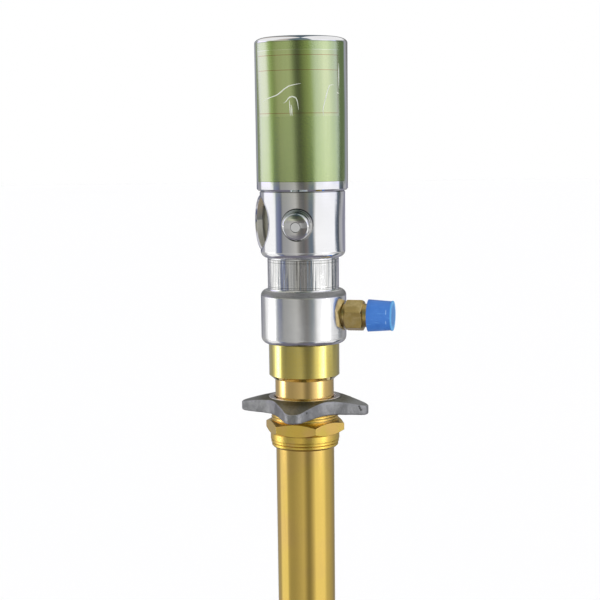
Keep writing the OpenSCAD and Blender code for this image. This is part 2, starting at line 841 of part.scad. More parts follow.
module valve_body() {
    color("lightgray") difference() {
        valve_body_outside();
        disc(neck_thread_r + fit, body_z - overrun, neck_thread_l + fit + overrun);
        disc(rod_r + rod_relief, body_z, spigot_top_z + overrun - body_z);
        disc(rod_seal_r, spigot_top_z - rod_seal_h, rod_seal_h + overrun);
        shaft_groove(spigot_r, shell_in_r, seal_w, shell_seal_z);
        at_spool() disc(spool_bore_r, spool_bore_z, spigot_top_z + overrun - spool_bore_z);
        at_screws() disc(screw_d / 2 + fit, spigot_top_z - screw_l, screw_l + overrun);
        exhaust_cuts();
        inlet_cuts();
        plug_cuts();
        gallery_cuts();
    }
}

module valve_spool() {
    color("lightsteelblue") at_spool() difference() {
        union() {
            disc(spool_waist_d / 2, spool_z - spool_stub, spool_stub + spool_l);
            for (i = [0:spool_lands - 1]) disc(spool_r, spool_z + i * spool_pitch, spool_land_w);
        }
        for (i = [0:spool_lands - 1])
            shaft_groove(spool_r, spool_bore_r - fit, spool_seal_w,
                         spool_z + i * spool_pitch + spool_land_w / 2);
    }
}

module spool_seals() {
    color("black") at_spool() for (i = [0:spool_lands - 1])
        o_ring(spool_bore_r - fit, spool_seal_w, spool_z + i * spool_pitch + spool_land_w / 2);
}

module pilot_plug() {
    head_z = plug_floor + plug_washer_t;
    dome_z = head_z + plug_head_h - plug_dome_h;
    head_r = plug_head_d / 2;
    flange_r = plug_flange_d / 2;
    face_r = head_r - plug_edge;
    color("silver") at_plug() difference() {
        union() {
            rotate_extrude() polygon(concat(
                [[0, head_z], [flange_r, head_z], [flange_r, head_z + plug_flange_t],
                 [head_r, head_z + plug_flange_t]],
                arc([face_r, dome_z - plug_edge], plug_edge, 0, 90, 6),
                [for (i = [1:6]) let (r = face_r * (1 - i / 6))
                    [r, dome_z + plug_dome_h * (1 - pow(r / face_r, 2))]]));
            disc(plug_thread_d / 2, plug_floor - plug_thread_l, plug_thread_l + plug_washer_t + fit);
        }
        disc(plug_dimple_d / 2, dome_z + plug_dome_h - plug_dimple_h, plug_dimple_h + overrun);
    }
}

module plug_washer() {
    inner_r = plug_thread_d / 2 + fit;
    color("peru") at_plug() ring(inner_r, inner_r + plug_washer_w, plug_floor, plug_washer_t);
}

module exhaust_silencer() {
    color("olive") at_exhaust() disc(exhaust_r - fit, exhaust_floor + fit, silencer_t);
}

// Snap ring with a gap between its ends
module silencer_ring() {
    clip_z = exhaust_floor + silencer_t + 3 * fit;
    color("dimgray") at_exhaust() difference() {
        ring(exhaust_r - clip_w, exhaust_r + clip_groove - fit, clip_z, clip_t);
        translate([-2 * exhaust_r, -clip_w, clip_z - overrun])
            cube([2 * exhaust_r, 2 * clip_w, clip_t + 2 * overrun]);
    }
}

module air_inlet_bush() {
    bush_end = inlet_floor + inlet_flange_t;
    thread_r = inlet_thread_d / 2;
    color("goldenrod") at_inlet() difference() {
        union() {
            disc(inlet_shank_d / 2, inlet_inner, inlet_floor - inlet_inner + fit);
            disc(inlet_flange_d / 2, inlet_floor + fit, inlet_flange_t - fit);
        }
        disc(thread_r, inlet_inner - overrun, bush_end - inlet_inner + 2 * overrun);
        translate([0, 0, bush_end - inlet_lip])
            cylinder(r1 = thread_r, r2 = thread_r + inlet_lip + overrun, h = inlet_lip + overrun);
    }
}

module neck_label() {
    color("white")
        ring(neck_r + fit, neck_r + fit + foil_t, outlet_top_z + neck_bare, neck_h - 2 * neck_bare);
}

// Outlet body

neck_seal_z = neck_top_z - seal_w;

module outlet_body() {
    spot_z = spot_reach;
    color("lightgray") difference() {
        union() {
            rotate_extrude() polygon(
                bar_outline(outlet_r, outlet_z, outlet_h, outlet_edge, outlet_edge));
            disc(neck_r, outlet_top_z - outlet_edge, neck_h + outlet_edge);
            disc(neck_thread_r, body_z - outlet_edge, neck_thread_l + outlet_edge);
        }
        disc(coupling_thread_r + fit, outlet_z - overrun, coupling_thread_l + fit + overrun);
        disc(chamber_r, outlet_z, chamber_top_z - outlet_z);
        disc(rod_r + rod_relief, outlet_z, body_top_z - outlet_z);
        disc(packing_r, packing_z, body_top_z - packing_z);
        shaft_groove(neck_thread_r, neck_thread_r + fit, seal_w, neck_seal_z);
        at_outlet() {
            disc(nipple_in_d / 2 + fit, 0, outlet_r);
            disc(spot_d / 2, spot_z, outlet_r);
        }
    }
}

module neck_seal() {
    color("black") o_ring(neck_thread_r + fit, seal_w, neck_seal_z);
}

module packing_washer() {
    color("gray") ring(rod_r + run, packing_r - fit, packing_z, packing_washer_t);
}

// Chevron rings, one on the other
module rod_packing() {
    inner_r = rod_r + fit;
    outer_r = packing_r - fit;
    middle_r = (inner_r + outer_r) / 2;
    fold = packing_ring_h / 2;
    color("saddlebrown") for (i = [0:packing_count - 1])
        translate([0, 0, packing_z + packing_washer_t + i * packing_pitch])
            rotate_extrude() polygon([
                [inner_r, 0], [middle_r, i == 0 ? 0 : fold], [outer_r, 0],
                [outer_r, packing_ring_h],
                [middle_r, packing_ring_h + (i == packing_count - 1 ? 0 : fold)],
                [inner_r, packing_ring_h]]);
}

module gland_nut() {
    hole_offset = (rod_r + packing_r) / 2;
    color("darkgoldenrod") difference() {
        ring(rod_r + rod_relief, packing_r - fit, packing_top_z, gland_h);
        for (side = [-1, 1]) translate([side * hole_offset, 0, 0])
            disc(gland_hole_d / 2, packing_top_z + gland_h / 2, gland_h);
    }
}

// Outlet nipple and cap

nipple_hex_z = spot_reach + nipple_gap;
nipple_hex_end = nipple_hex_z + nipple_hex_l;
nipple_thread_z = nipple_hex_end + undercut_l;
nipple_end = nipple_thread_z + outlet_thread_l;

module outlet_nipple() {
    inner_z = spot_reach - nipple_in_l;
    thread_r = outlet_thread_d / 2;
    lip = thread_r - undercut_d / 2;
    color("darkkhaki") at_outlet() difference() {
        union() {
            disc(nipple_in_d / 2, inner_z, nipple_in_l + nipple_gap + fit);
            rotate([0, 0, nipple_roll]) hex_bar(nipple_af, nipple_hex_z, nipple_hex_l);
            disc(undercut_d / 2, nipple_hex_end - fit, undercut_l + 2 * fit);
            rotate_extrude() polygon([
                [0, nipple_thread_z], [thread_r, nipple_thread_z], [thread_r, nipple_end - lip],
                [thread_r - lip, nipple_end], [0, nipple_end]]);
        }
        disc(nipple_bore_d / 2, inner_z - overrun, nipple_end - inner_z + 2 * overrun);
    }
}

module protective_cap() {
    cap_z = nipple_hex_end + cap_gap;
    cap_top = cap_z + cap_l;
    inner_r = outlet_thread_d / 2 + cap_clearance;
    end_r = cap_end_d / 2;
    roof_z = cap_top - cap_end_t;
    color("dodgerblue") at_outlet() rotate_extrude() polygon([
        [inner_r, cap_z], [cap_d / 2, cap_z],
        [end_r, cap_top - cap_end_t],
        [end_r + cap_lip, cap_top - cap_end_t / 2],
        [end_r + cap_lip, cap_top],
        [0, cap_top], [0, roof_z],
        [end_r - cap_end_t, roof_z],
        [inner_r, nipple_end]]);
}

// Coupling and tube

coupling_seal_z = outlet_z + coupling_thread_l - seal_w;

module tube_coupling() {
    lip_h = coupling_lip * tan(40);
    color("yellowgreen") difference() {
        union() {
            rotate_extrude() polygon([
                [0, standoff], [coupling_r - coupling_lip, standoff],
                [coupling_r, standoff + lip_h], [coupling_r, outlet_z], [0, outlet_z]]);
            disc(coupling_thread_r, outlet_z - fit, coupling_thread_l + fit);
        }
        disc(tube_r + fit, standoff - overrun, tube_engage + fit + overrun);
        disc(chamber_r, standoff, coupling_h + coupling_thread_l + overrun);
        shaft_groove(coupling_thread_r, coupling_thread_r + fit, seal_w, coupling_seal_z);
    }
}

module coupling_seal() {
    color("black") o_ring(coupling_thread_r + fit, seal_w, coupling_seal_z);
}

module suction_tube() {
    color("goldenrod") ring(tube_bore_r, tube_r, tube_bottom_z, tube_l);
}

// Rods and plunger

module cross_pin_hole(z) {
    translate([0, 0, z]) rotate([90, 0, 0])
        cylinder(d = pin_d, h = sleeve_d + 2 * overrun, center = true);
}

module rod_sleeve() {
    color("lightsteelblue") difference() {
        disc(sleeve_d / 2, sleeve_z, sleeve_l);
        disc(rod_r + fit, sleeve_top_z - rod_engage - fit, rod_engage + overrun);
        disc(pump_rod_r + fit, sleeve_z - overrun, rod_engage + fit + overrun);
        cross_pin_hole(sleeve_top_z - rod_engage / 2);
        cross_pin_hole(sleeve_z + rod_engage / 2);
    }
}

module sleeve_pins() {
    color("gray") for (z = [sleeve_top_z - rod_engage / 2, sleeve_z + rod_engage / 2])
        translate([0, 0, z]) rotate([90, 0, 0])
            cylinder(d = pin_d, h = sleeve_d - run, center = true);
}

rod_seat_z = plunger_z + plunger_l - rod_engage;

module pump_rod() {
    color("lightsteelblue") difference() {
        disc(pump_rod_r, rod_seat_z, sleeve_z + rod_engage - rod_seat_z);
        cross_pin_hole(sleeve_z + rod_engage / 2);
    }
}

// Height of a resting ball's centre above the edge of its seat
function ball_rise(ball_d, seat_d) = sqrt(ball_d * ball_d - seat_d * seat_d) / 2 + run;

plunger_ball_z = plunger_z + plunger_seat_h + ball_rise(plunger_ball_d, plunger_seat_d);
plunger_cage_z = plunger_ball_z + plunger_ball_d / 2 + plunger_lift + run;
plunger_seal_pitch = plunger_head_l / (plunger_seal_count + 1);

module plunger() {
    cage_r = plunger_ball_d / 2 + foot_clearance;
    window_z = (plunger_z + plunger_head_l + plunger_cage_z) / 2;
    color("darkkhaki") difference() {
        union() {
            disc(barrel_bore_r - run, plunger_z, plunger_head_l);
            disc(stem_d / 2, plunger_z + plunger_head_l - fit, plunger_l - plunger_head_l + fit);
        }
        disc(plunger_seat_d / 2, plunger_z - overrun, plunger_l / 2);
        disc(cage_r, plunger_z + plunger_seat_h, plunger_cage_z - plunger_z - plunger_seat_h);
        disc(pump_rod_r + fit, rod_seat_z - fit, rod_engage + fit + overrun);
        for (i = [0:window_count - 1]) rotate([0, 0, i * 360 / window_count])
            translate([stem_d / 4, 0, window_z]) rotate([0, 90, 0])
                cylinder(d = window_d, h = stem_d / 2);
        for (i = [1:plunger_seal_count])
            shaft_groove(barrel_bore_r - run, barrel_bore_r - fit, seal_w,
                         plunger_z + i * plunger_seal_pitch);
    }
}

module plunger_seals() {
    color("black") for (i = [1:plunger_seal_count])
        o_ring(barrel_bore_r - fit, seal_w, plunger_z + i * plunger_seal_pitch);
}

module plunger_ball() {
    color("silver") translate([0, 0, plunger_ball_z]) sphere(d = plunger_ball_d);
}

module pump_barrel() {
    color("gainsboro") ring(barrel_bore_r, barrel_r, foot_top_z, barrel_l);
}

// Foot valve

foot_seat_z = tube_bottom_z;
foot_ball_z = foot_seat_z + ball_rise(foot_ball_d, foot_seat_d);
stop_pin_z = foot_ball_z + foot_ball_d / 2 + foot_lift + run + stop_pin_d / 2;
foot_seal_z = foot_seat_z + seal_w;

module foot_valve_body() {
    cage_r = foot_ball_d / 2 + foot_clearance;
    flange_z = tube_bottom_z - foot_flange_h;
    spigot_in_r = tube_r - strainer_wall - fit;
    color("goldenrod") difference() {
        union() {
            disc(barrel_r, tube_bottom_z - fit, foot_h + fit);
            disc(tube_r, flange_z, foot_flange_h);
            disc(spigot_in_r, flange_z - strainer_spigot_h, strainer_spigot_h + fit);
        }
        disc(foot_seat_d / 2, flange_z - strainer_spigot_h - overrun,
             foot_flange_h + strainer_spigot_h + foot_h / 2);
        disc(cage_r, foot_seat_z, foot_h + overrun);
        translate([0, 0, stop_pin_z]) rotate([90, 0, 0])
            cylinder(d = stop_pin_d, h = tube_d, center = true);
        shaft_groove(barrel_r, tube_bore_r, seal_w, foot_seal_z);
    }
}

module foot_ball() {
    color("silver") translate([0, 0, foot_ball_z]) sphere(d = foot_ball_d);
}

module ball_stop_pin() {
    color("gray") translate([0, 0, stop_pin_z]) rotate([90, 0, 0])
        cylinder(d = stop_pin_d, h = 2 * (barrel_r - fit), center = true);
}

module foot_seal() {
    color("black") o_ring(tube_bore_r, seal_w, foot_seal_z);
}

module strainer() {
    rim_z = tube_bottom_z - foot_flange_h;
    floor_z = rim_z - strainer_h;
    inner_r = tube_r - strainer_wall;
    hole_z = (floor_z + rim_z - strainer_spigot_h) / 2;
    color("gainsboro") difference() {
        disc(tube_r, floor_z, strainer_h);
        disc(inner_r, floor_z + strainer_wall, strainer_h);
        for (i = [0:strainer_holes - 1]) rotate([0, 0, i * 360 / strainer_holes]) {
            translate([0, 0, hole_z]) rotate([0, 90, 0])
                cylinder(d = strainer_hole_d, h = tube_d);
            translate([inner_r * 2 / 3, 0, 0])
                disc(strainer_hole_d / 2, floor_z - overrun, strainer_wall + 2 * overrun);
        }
    }
}

// Drum adapter

drum_spigot_end = drum_spigot_l + 2 * ring_gap + 2 * ring_h + drum_cone_h;

module adapter_body() {
    ring_r = drum_spigot_r - ring_inset;
    groove_r = drum_spigot_r - ring_depth;
    cone_r = groove_r - drum_cone_h;
    first_z = -drum_spigot_l;
    second_z = first_z - ring_gap - ring_h;
    rings_end = second_z - ring_gap - ring_h;
    cone_w = star_thread_r - adapter_bore_r;
    color("gold") difference() {
        union() {
            rotate([0, 0, adapter_turn]) hex_bar(adapter_af, 0, adapter_hex_h);
            rotate_extrude() polygon([
                [0, adapter_hex_h / 2], [drum_spigot_r, adapter_hex_h / 2],
                [drum_spigot_r, first_z],
                [groove_r, first_z], [groove_r, first_z - ring_gap],
                [ring_r, first_z - ring_gap], [ring_r, second_z],
                [cone_r, second_z], [cone_r, second_z - ring_gap],
                [groove_r, second_z - ring_gap], [groove_r, rings_end],
                [cone_r, -drum_spigot_end], [0, -drum_spigot_end]]);
            disc(star_thread_r, adapter_hex_h - fit, star_thread_l + fit);
        }
        disc(adapter_bore_r, -drum_spigot_end - overrun,
             drum_spigot_end + star_thread_z + 2 * overrun);
        translate([0, 0, star_thread_z - cone_w / 2])
            cylinder(r1 = adapter_bore_r, r2 = adapter_bore_r + cone_w / 2 + overrun,
                     h = cone_w / 2 + overrun);
    }
}

// Split clamping ring, pressed by the star nut
module clamp_ring() {
    inner_r = tube_r + run;
    outer_r = star_thread_r - run;
    cone_w = star_thread_r - adapter_bore_r;
    top_z = star_plate_z - fit;
    color("dimgray") difference() {
        union() {
            ring(inner_r, outer_r, star_thread_z + fit, top_z - star_thread_z - fit);
            translate([0, 0, star_thread_z + fit - cone_w / 2 + run])
                cylinder(r1 = adapter_bore_r, r2 = adapter_bore_r + cone_w / 2 - run,
                         h = cone_w / 2 - run);
        }
        disc(inner_r, 0, star_top_z);
        translate([0, -overrun, 0]) cube([star_thread_r, 2 * overrun, star_top_z]);
    }
}

// Outline of a star with four lobes, straight flanks and round hollows
tip_offset = star_r - star_tip_r;
hollow_u = (star_waist_r + star_hollow_r) / sqrt(2);
centre_gap = norm([hollow_u - tip_offset, hollow_u]);
flank_angle = atan2(hollow_u, hollow_u - tip_offset)
    - acos((star_tip_r + star_hollow_r) / centre_gap);

function lobe_points() = concat(
    arc([tip_offset, 0], star_tip_r, -flank_angle, flank_angle, 16),
    arc([hollow_u, hollow_u], star_hollow_r, 180 + flank_angle, 270 - flank_angle, 16));

function turned(points, angle) =
    [for (p = points) [p.x * cos(angle) - p.y * sin(angle), p.x * sin(angle) + p.y * cos(angle)]];

module star_nut() {
    edge_r = star_r + overrun;
    drop_share = (edge_r - star_flat_r) / (star_r - star_flat_r);
    droop = star_droop * drop_share;
    low_droop = (star_droop + star_tip_h - star_h) * drop_share;
    color("darkgray") difference() {
        intersection() {
            rotate([0, 0, star_turn]) linear_extrude(height = star_top_z)
                polygon([for (i = [0:3]) each turned(lobe_points(), i * 90)]);
            rotate_extrude() polygon([
                [0, star_z], [star_flat_r, star_z], [edge_r, star_z - low_droop],
                [edge_r, star_top_z - droop], [star_flat_r, star_top_z], [0, star_top_z]]);
        }
        disc(tube_r + star_mouth, 0, star_top_z + overrun);
        disc(star_thread_r + run, 0, star_plate_z);
    }
}

motor_shell();
shell_label();
cylinder_liner();
top_bumper();
base_plate();
base_screws();
base_bumper();
rod_bush();
rod_seal();
shell_seal();
air_piston();
piston_seal();
piston_nut();
piston_rod();
valve_body();
valve_spool();
spool_seals();
pilot_plug();
plug_washer();
exhaust_silencer();
silencer_ring();
air_inlet_bush();
neck_label();
outlet_body();
neck_seal();
packing_washer();
rod_packing();
gland_nut();
outlet_nipple();
protective_cap();
tube_coupling();
coupling_seal();
suction_tube();
rod_sleeve();
sleeve_pins();
pump_rod();
plunger();
plunger_seals();
plunger_ball();
pump_barrel();
foot_valve_body();
foot_ball();
ball_stop_pin();
foot_seal();
strainer();
adapter_body();
clamp_ring();
star_nut();
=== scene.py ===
import json
from math import acos, atan2, cos, hypot, pi, radians, sin, sqrt

import bpy
from mathutils import Matrix, Vector, noise


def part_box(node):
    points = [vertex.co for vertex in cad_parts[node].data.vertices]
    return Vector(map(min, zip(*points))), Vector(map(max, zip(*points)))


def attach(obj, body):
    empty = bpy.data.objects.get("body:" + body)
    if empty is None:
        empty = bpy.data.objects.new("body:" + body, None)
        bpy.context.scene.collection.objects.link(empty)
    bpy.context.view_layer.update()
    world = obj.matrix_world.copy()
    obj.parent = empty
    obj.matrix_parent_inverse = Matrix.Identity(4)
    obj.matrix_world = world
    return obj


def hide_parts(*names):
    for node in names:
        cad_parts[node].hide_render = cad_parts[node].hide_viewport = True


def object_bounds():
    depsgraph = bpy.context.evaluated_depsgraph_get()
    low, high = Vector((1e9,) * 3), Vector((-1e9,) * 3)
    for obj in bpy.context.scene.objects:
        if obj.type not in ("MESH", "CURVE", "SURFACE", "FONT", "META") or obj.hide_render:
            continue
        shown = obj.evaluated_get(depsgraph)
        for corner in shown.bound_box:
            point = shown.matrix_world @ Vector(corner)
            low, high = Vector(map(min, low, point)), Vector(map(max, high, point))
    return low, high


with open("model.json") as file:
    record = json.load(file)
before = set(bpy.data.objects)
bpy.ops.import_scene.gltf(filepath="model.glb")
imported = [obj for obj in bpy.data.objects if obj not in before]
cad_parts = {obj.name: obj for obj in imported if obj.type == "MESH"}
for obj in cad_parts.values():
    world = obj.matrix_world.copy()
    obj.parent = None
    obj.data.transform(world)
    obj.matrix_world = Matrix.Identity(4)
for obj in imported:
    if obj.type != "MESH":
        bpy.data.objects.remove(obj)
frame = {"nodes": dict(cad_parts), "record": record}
cad_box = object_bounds()
nodes = frame["nodes"]
record = frame["record"]
scene = bpy.context.scene
scene.view_settings.view_transform = "Standard"


# Camera, where the photograph was taken from

CAM_LENS = 84
CAM_AWAY = 1.05
CAM_HEIGHT = 0.216
CAM_PITCH = radians(13)
CAM_ROLL = radians(-0.69)
CAM_SIDE = -0.0042
CAM_SHIFT = 0.2747

camera = bpy.data.objects.new("camera", bpy.data.cameras.new("camera"))
scene.collection.objects.link(camera)
camera.data.lens = CAM_LENS
camera.data.shift_y = CAM_SHIFT
camera.matrix_world = (Matrix.Translation((CAM_SIDE, -CAM_AWAY, CAM_HEIGHT))
                       @ Matrix.Rotation(pi / 2 - CAM_PITCH, 4, "X")
                       @ Matrix.Rotation(CAM_ROLL, 4, "Z"))
scene.camera = camera


# Studio: a light tent with bright, dark and tinted strips, and a pale floor

# Height of a relief at full strength, and the soft edge of a fine line
RELIEF = 0.001
CRISP = 0.0001


class Tree:
    """A small helper that adds nodes to a node tree."""

    def __init__(self, tree):
        self.tree = tree
        tree.nodes.clear()

    def add(self, kind, links=None, **settings):
        node = self.tree.nodes.new(kind)
        for name, value in settings.items():
            setattr(node, name, value)
        for name, value in (links or {}).items():
            socket = node.inputs[name]
            if isinstance(value, bpy.types.NodeSocket):
                self.tree.links.new(value, socket)
            else:
                socket.default_value = value
        return node

    def math(self, operation, a, b=0.0):
        return self.add("ShaderNodeMath", {0: a, 1: b}, operation=operation).outputs[0]

    def times(self, a, b):
        return self.math("MULTIPLY", a, b)

    def split(self, vector):
        """The X, Y and Z of a vector."""
        return self.add("ShaderNodeSeparateXYZ", {0: vector}).outputs

    def ramp(self, factor, stops):
        node = self.add("ShaderNodeValToRGB", {"Fac": factor})
        ramp = node.color_ramp
        while len(ramp.elements) < len(stops):
            ramp.elements.new(0.5)
        for element, (position, colour) in zip(ramp.elements, stops):
            element.position = position
            element.color = (*colour, 1)
        return node.outputs["Color"]

    def mix(self, factor, a, b, blend="MIX"):
        node = self.add("ShaderNodeMix", data_type="RGBA", blend_type=blend)
        for socket, value in ((node.inputs[0], factor), (node.inputs[6], a), (node.inputs[7], b)):
            if isinstance(value, bpy.types.NodeSocket):
                self.tree.links.new(value, socket)
            elif isinstance(value, (int, float)):
                socket.default_value = value
            else:
                socket.default_value = (*value, 1)
        return node.outputs[2]

    def spread(self, value, low, high, to_low, to_high):
        return self.add("ShaderNodeMapRange", {"Value": value, "From Min": low, "From Max": high,
                                               "To Min": to_low, "To Max": to_high}).outputs[0]

    def noise(self, at, scale, detail=3, stretch=None):
        if stretch:
            at = self.add("ShaderNodeMapping", {"Vector": at, "Scale": stretch}).outputs[0]
        links = {"Vector": at, "Scale": scale, "Detail": detail}
        return self.add("ShaderNodeTexNoise", links).outputs["Fac"]

    def band(self, value, low, high, soft):
        """1 between low and high, 0 outside, with soft edges."""
        rise = self.spread(value, low - soft, low + soft, 0, 1)
        fall = self.spread(value, high - soft, high + soft, 1, 0)
        return self.times(rise, fall)

    def vector(self, operation, a, b, output="Vector"):
        return self.add("ShaderNodeVectorMath", {0: a, 1: b}, operation=operation).outputs[output]

    def along(self, at, axis):
        """Distance along an axis, from its origin."""
        return self.vector("DOT_PRODUCT", self.vector("SUBTRACT", at, axis[0]), axis[1], "Value")

    def beside(self, at, axis):
        """Distance from an axis."""
        arm = self.vector("CROSS_PRODUCT", self.vector("SUBTRACT", at, axis[0]), axis[1])
        return self.vector("LENGTH", arm, (0, 0, 0), "Value")

    def bump(self, height, strength, round_edge=0.0):
        """Normals of a relief, over edges rounded by a radius."""
        links = {"Height": height, "Strength": strength, "Distance": RELIEF}
        if round_edge:
            bevel = self.add("ShaderNodeBevel", {"Radius": round_edge}, samples=8)
            links["Normal"] = bevel.outputs[0]
        return self.add("ShaderNodeBump", links).outputs[0]


# Light of the tent's strips by azimuth in degrees, 0 towards the camera and 90 to the right, set
# until the metal mirrored stripes like the photograph's. The label looks at the highest part of
# the walls, the aluminium at the middle and the zinc at the lowest
HIGH_WALLS = [
    (-180, 0.22), (-149, (0.34, 0.36, 0.40)), (-139, (0.30, 0.32, 0.28)),
    (-131, (0.32, 0.34, 0.28)), (-124, (1.10, 1.05, 1.45)), (-110, (1.25, 1.18, 1.62)),
    (-91, (1.25, 1.18, 1.62)),
    (-81, (0.50, 0.60, 0.34)), (-68, (0.30, 0.34, 0.19)), (-57, (0.50, 0.50, 0.38)),
    (-35, (0.55, 0.57, 0.45)), (-22, (0.57, 0.58, 0.46)), (-13, (0.20, 0.23, 0.16)),
    (-4, (0.10, 0.10, 0.09)), (3, (0.14, 0.15, 0.10)), (8, (0.22, 0.26, 0.14)),
    (18, (0.35, 0.38, 0.22)), (28, (0.46, 0.53, 0.30)), (37, (0.78, 0.82, 0.92)),
    (50, (0.94, 0.96, 1.10)), (62, (1.22, 1.20, 1.42)), (72, (1.20, 1.18, 1.38)),
    (87, (0.85, 0.88, 1.06)), (103, (0.80, 0.81, 1.18)), (109, (0.22, 0.26, 0.20)),
    (136, (0.18, 0.22, 0.17)), (143, (0.36, 0.38, 0.43)), (155, 0.32), (165, 0.16), (180, 0.22),
]
MIDDLE_WALLS = [
    (-180, (0.36, 0.36, 0.42)), (-165, (0.20, 0.21, 0.26)), (-155, (0.20, 0.21, 0.26)),
    (-147, (0.36, 0.36, 0.40)), (-130, (0.36, 0.36, 0.40)), (-124, 1.02), (-81, 1.05),
    (-76, (0.26, 0.30, 0.40)), (-69, (0.20, 0.22, 0.34)), (-62, (0.12, 0.14, 0.24)),
    (-59, (0.17, 0.18, 0.21)), (-56, 0.32), (-42, 0.36), (-19, (0.50, 0.49, 0.47)),
    (-14, (0.36, 0.35, 0.33)), (-8, (0.19, 0.18, 0.17)), (2, 0.13), (8, (0.16, 0.14, 0.135)),
    (13, (0.19, 0.18, 0.18)), (18, (0.15, 0.18, 0.21)), (27, (0.14, 0.18, 0.23)), (31, 0.40),
    (36, 1.02), (103, (1.02, 1.02, 1.04)), (108, (0.13, 0.17, 0.23)), (119, (0.07, 0.08, 0.10)),
    (123, (0.09, 0.10, 0.11)), (128, (0.42, 0.42, 0.43)), (145, (0.42, 0.42, 0.46)),
    (150, (0.22, 0.22, 0.28)), (180, (0.36, 0.36, 0.42)),
]
LOW_WALLS = [
    (-180, 0.35), (-128, 0.45), (-118, 0.8), (-110, 1.5), (-103, 3.6), (-95, 6.0), (-89, 4.6),
    (-82, 1.0), (-76, 0.55), (-66, 0.42), (-50, 0.40), (-35, 0.46), (-20, 0.55), (-10, 0.62),
    (-4, 0.5), (3, 0.34), (10, 0.26), (18, 0.32), (26, 0.5), (34, 0.75), (42, 1.1), (50, 1.8),
    (58, 3.6), (66, 5.0), (73, 2.2), (80, 0.9), (92, 0.6), (104, 0.55), (128, 0.4), (140, 0.3),
    (180, 0.35),
]
CEILING = [
    (-180, (0.10, 0.14, 0.17)), (-174, (0.10, 0.14, 0.17)), (-171, (0.50, 0.45, 0.40)),
    (-165, (0.60, 0.55, 0.50)), (-160, 0.95), (-76, 0.95), (-68, (0.62, 0.58, 0.54)),
    (-42, (0.55, 0.50, 0.46)), (-32, (0.13, 0.18, 0.20)), (24, (0.10, 0.15, 0.18)), (31, 0.95),
    (171, 0.95), (174, (0.10, 0.14, 0.17)), (180, (0.10, 0.14, 0.17)),
]
# Turn by which the strips lean over at the top of the label
LEAN = radians(9)
# The Z of a direction where each change sets in and where it is full, or between which it holds
LEAN_Z = (0.02, 0.065)
SHADE_Z = (-0.004, -0.024)
HIGH_Z = (-0.0295, -0.0265)
FORWARD_Z = (-0.078, -0.045)
LOW_Z = (-0.36, -0.134)
CAPPED_Z = (-0.172, -0.190)
DARK_Z = (-0.60, -0.74)
CEILING_Z = (0.28, 0.42)
SOFT_Z = 0.004
# Turns in degrees of the strips that get darker, how soft their ends are, and the full shade
SHADE_TURNS = (-80, 30)
SHADE_SOFT = 4
SHADE = 0.30
# Share of its turn by which the middle walls' right side stands forward
FORWARD = 0.09
# Colour of the walls near the floor, and the light on dull faces
DARK = (0.17, 0.16, 0.20)
SOFT_LIGHT = 1.12


def strips(t, turn, table):
    share = t.math("ADD", t.math("DIVIDE", turn, 2 * pi), 0.5)
    stops = [((a + 180) / 360, c if isinstance(c, tuple) else (c, c, c)) for a, c in table]
    return t.ramp(share, stops)


def studio():
    """The tent as glossy faces mirror it, even light for dull faces, and white for the camera."""
    world = bpy.data.worlds.new("studio")
    scene.world = world
    world.use_nodes = True
    t = Tree(world.node_tree)
    way = t.split(t.add("ShaderNodeTexCoord").outputs["Generated"])
    z = way["Z"]
    turn = t.math("ARCTAN2", way["X"], t.times(way["Y"], -1.0))
    leaning = t.math("ADD", turn, t.spread(z, *LEAN_Z, 0, LEAN))
    high = strips(t, leaning, HIGH_WALLS)
    # The dark strips of the high walls get darker towards their lower edge
    shade = t.times(t.band(t.times(turn, 180 / pi), *SHADE_TURNS, SHADE_SOFT),
                    t.spread(z, *SHADE_Z, 0, SHADE))
    high = t.mix(shade, high, (0, 0, 0))
    # The middle walls' right side stands a little forward where the valve body looks at it
    right = t.times(t.math("MAXIMUM", turn, 0.0), t.band(z, *FORWARD_Z, SOFT_Z))
    middle = strips(t, t.math("ADD", turn, t.times(right, FORWARD)), MIDDLE_WALLS)
    walls = t.mix(t.spread(z, *HIGH_Z, 0, 1), middle, high)
    walls = t.mix(t.band(z, *LOW_Z, SOFT_Z), walls, strips(t, turn, LOW_WALLS))
    walls = t.mix(t.spread(z, *CAPPED_Z, 0, 1), walls, (1.0, 1.0, 1.0), "DARKEN")
    walls = t.mix(t.spread(z, *DARK_Z, 0, 1), walls, DARK)
    tent = t.mix(t.spread(z, *CEILING_Z, 0, 1), walls, strips(t, turn, CEILING))
    rays = t.add("ShaderNodeLightPath").outputs
    lit = t.mix(rays["Is Diffuse Ray"], tent, (SOFT_LIGHT, SOFT_LIGHT, SOFT_LIGHT))
    light = t.add("ShaderNodeBackground", {"Color": t.mix(rays["Is Camera Ray"], lit, (1, 1, 1)),
                                           "Strength": 1.0})
    t.add("ShaderNodeOutputWorld", {"Surface": light.outputs[0]})


FLOOR_REACH = 40.0
FLOOR_GREY = 0.94


def pale_floor():
    """A wide matt floor at the pump's lower end, which the metal doesn't mirror."""
    mesh = bpy.data.meshes.new("floor")
    low = cad_box[0][2]
    corners = [(x * FLOOR_REACH, y * FLOOR_REACH, low)
               for x, y in ((-1, -1), (1, -1), (1, 1), (-1, 1))]
    mesh.from_pydata(corners, [], [(0, 1, 2, 3)])
    plane = bpy.data.objects.new("floor", mesh)
    scene.collection.objects.link(plane)
    plane.visible_glossy = False
    material = bpy.data.materials.new("pale_floor")
    material.use_nodes = True
    t = Tree(material.node_tree)
    shader = t.add("ShaderNodeBsdfPrincipled", {
        "Base Color": (FLOOR_GREY, FLOOR_GREY, FLOOR_GREY, 1), "Roughness": 0.9,
        "Specular IOR Level": 0.0})
    t.add("ShaderNodeOutputMaterial", {"Surface": shader.outputs[0]})
    mesh.materials.append(material)


studio()
pale_floor()


# The axes that round faces turn about

def mount(name):
    row = next(m for m in record["mounts"] if m["name"] == name)
    return Vector(row["pos_m"]), Vector(row["axis"]).normalized()


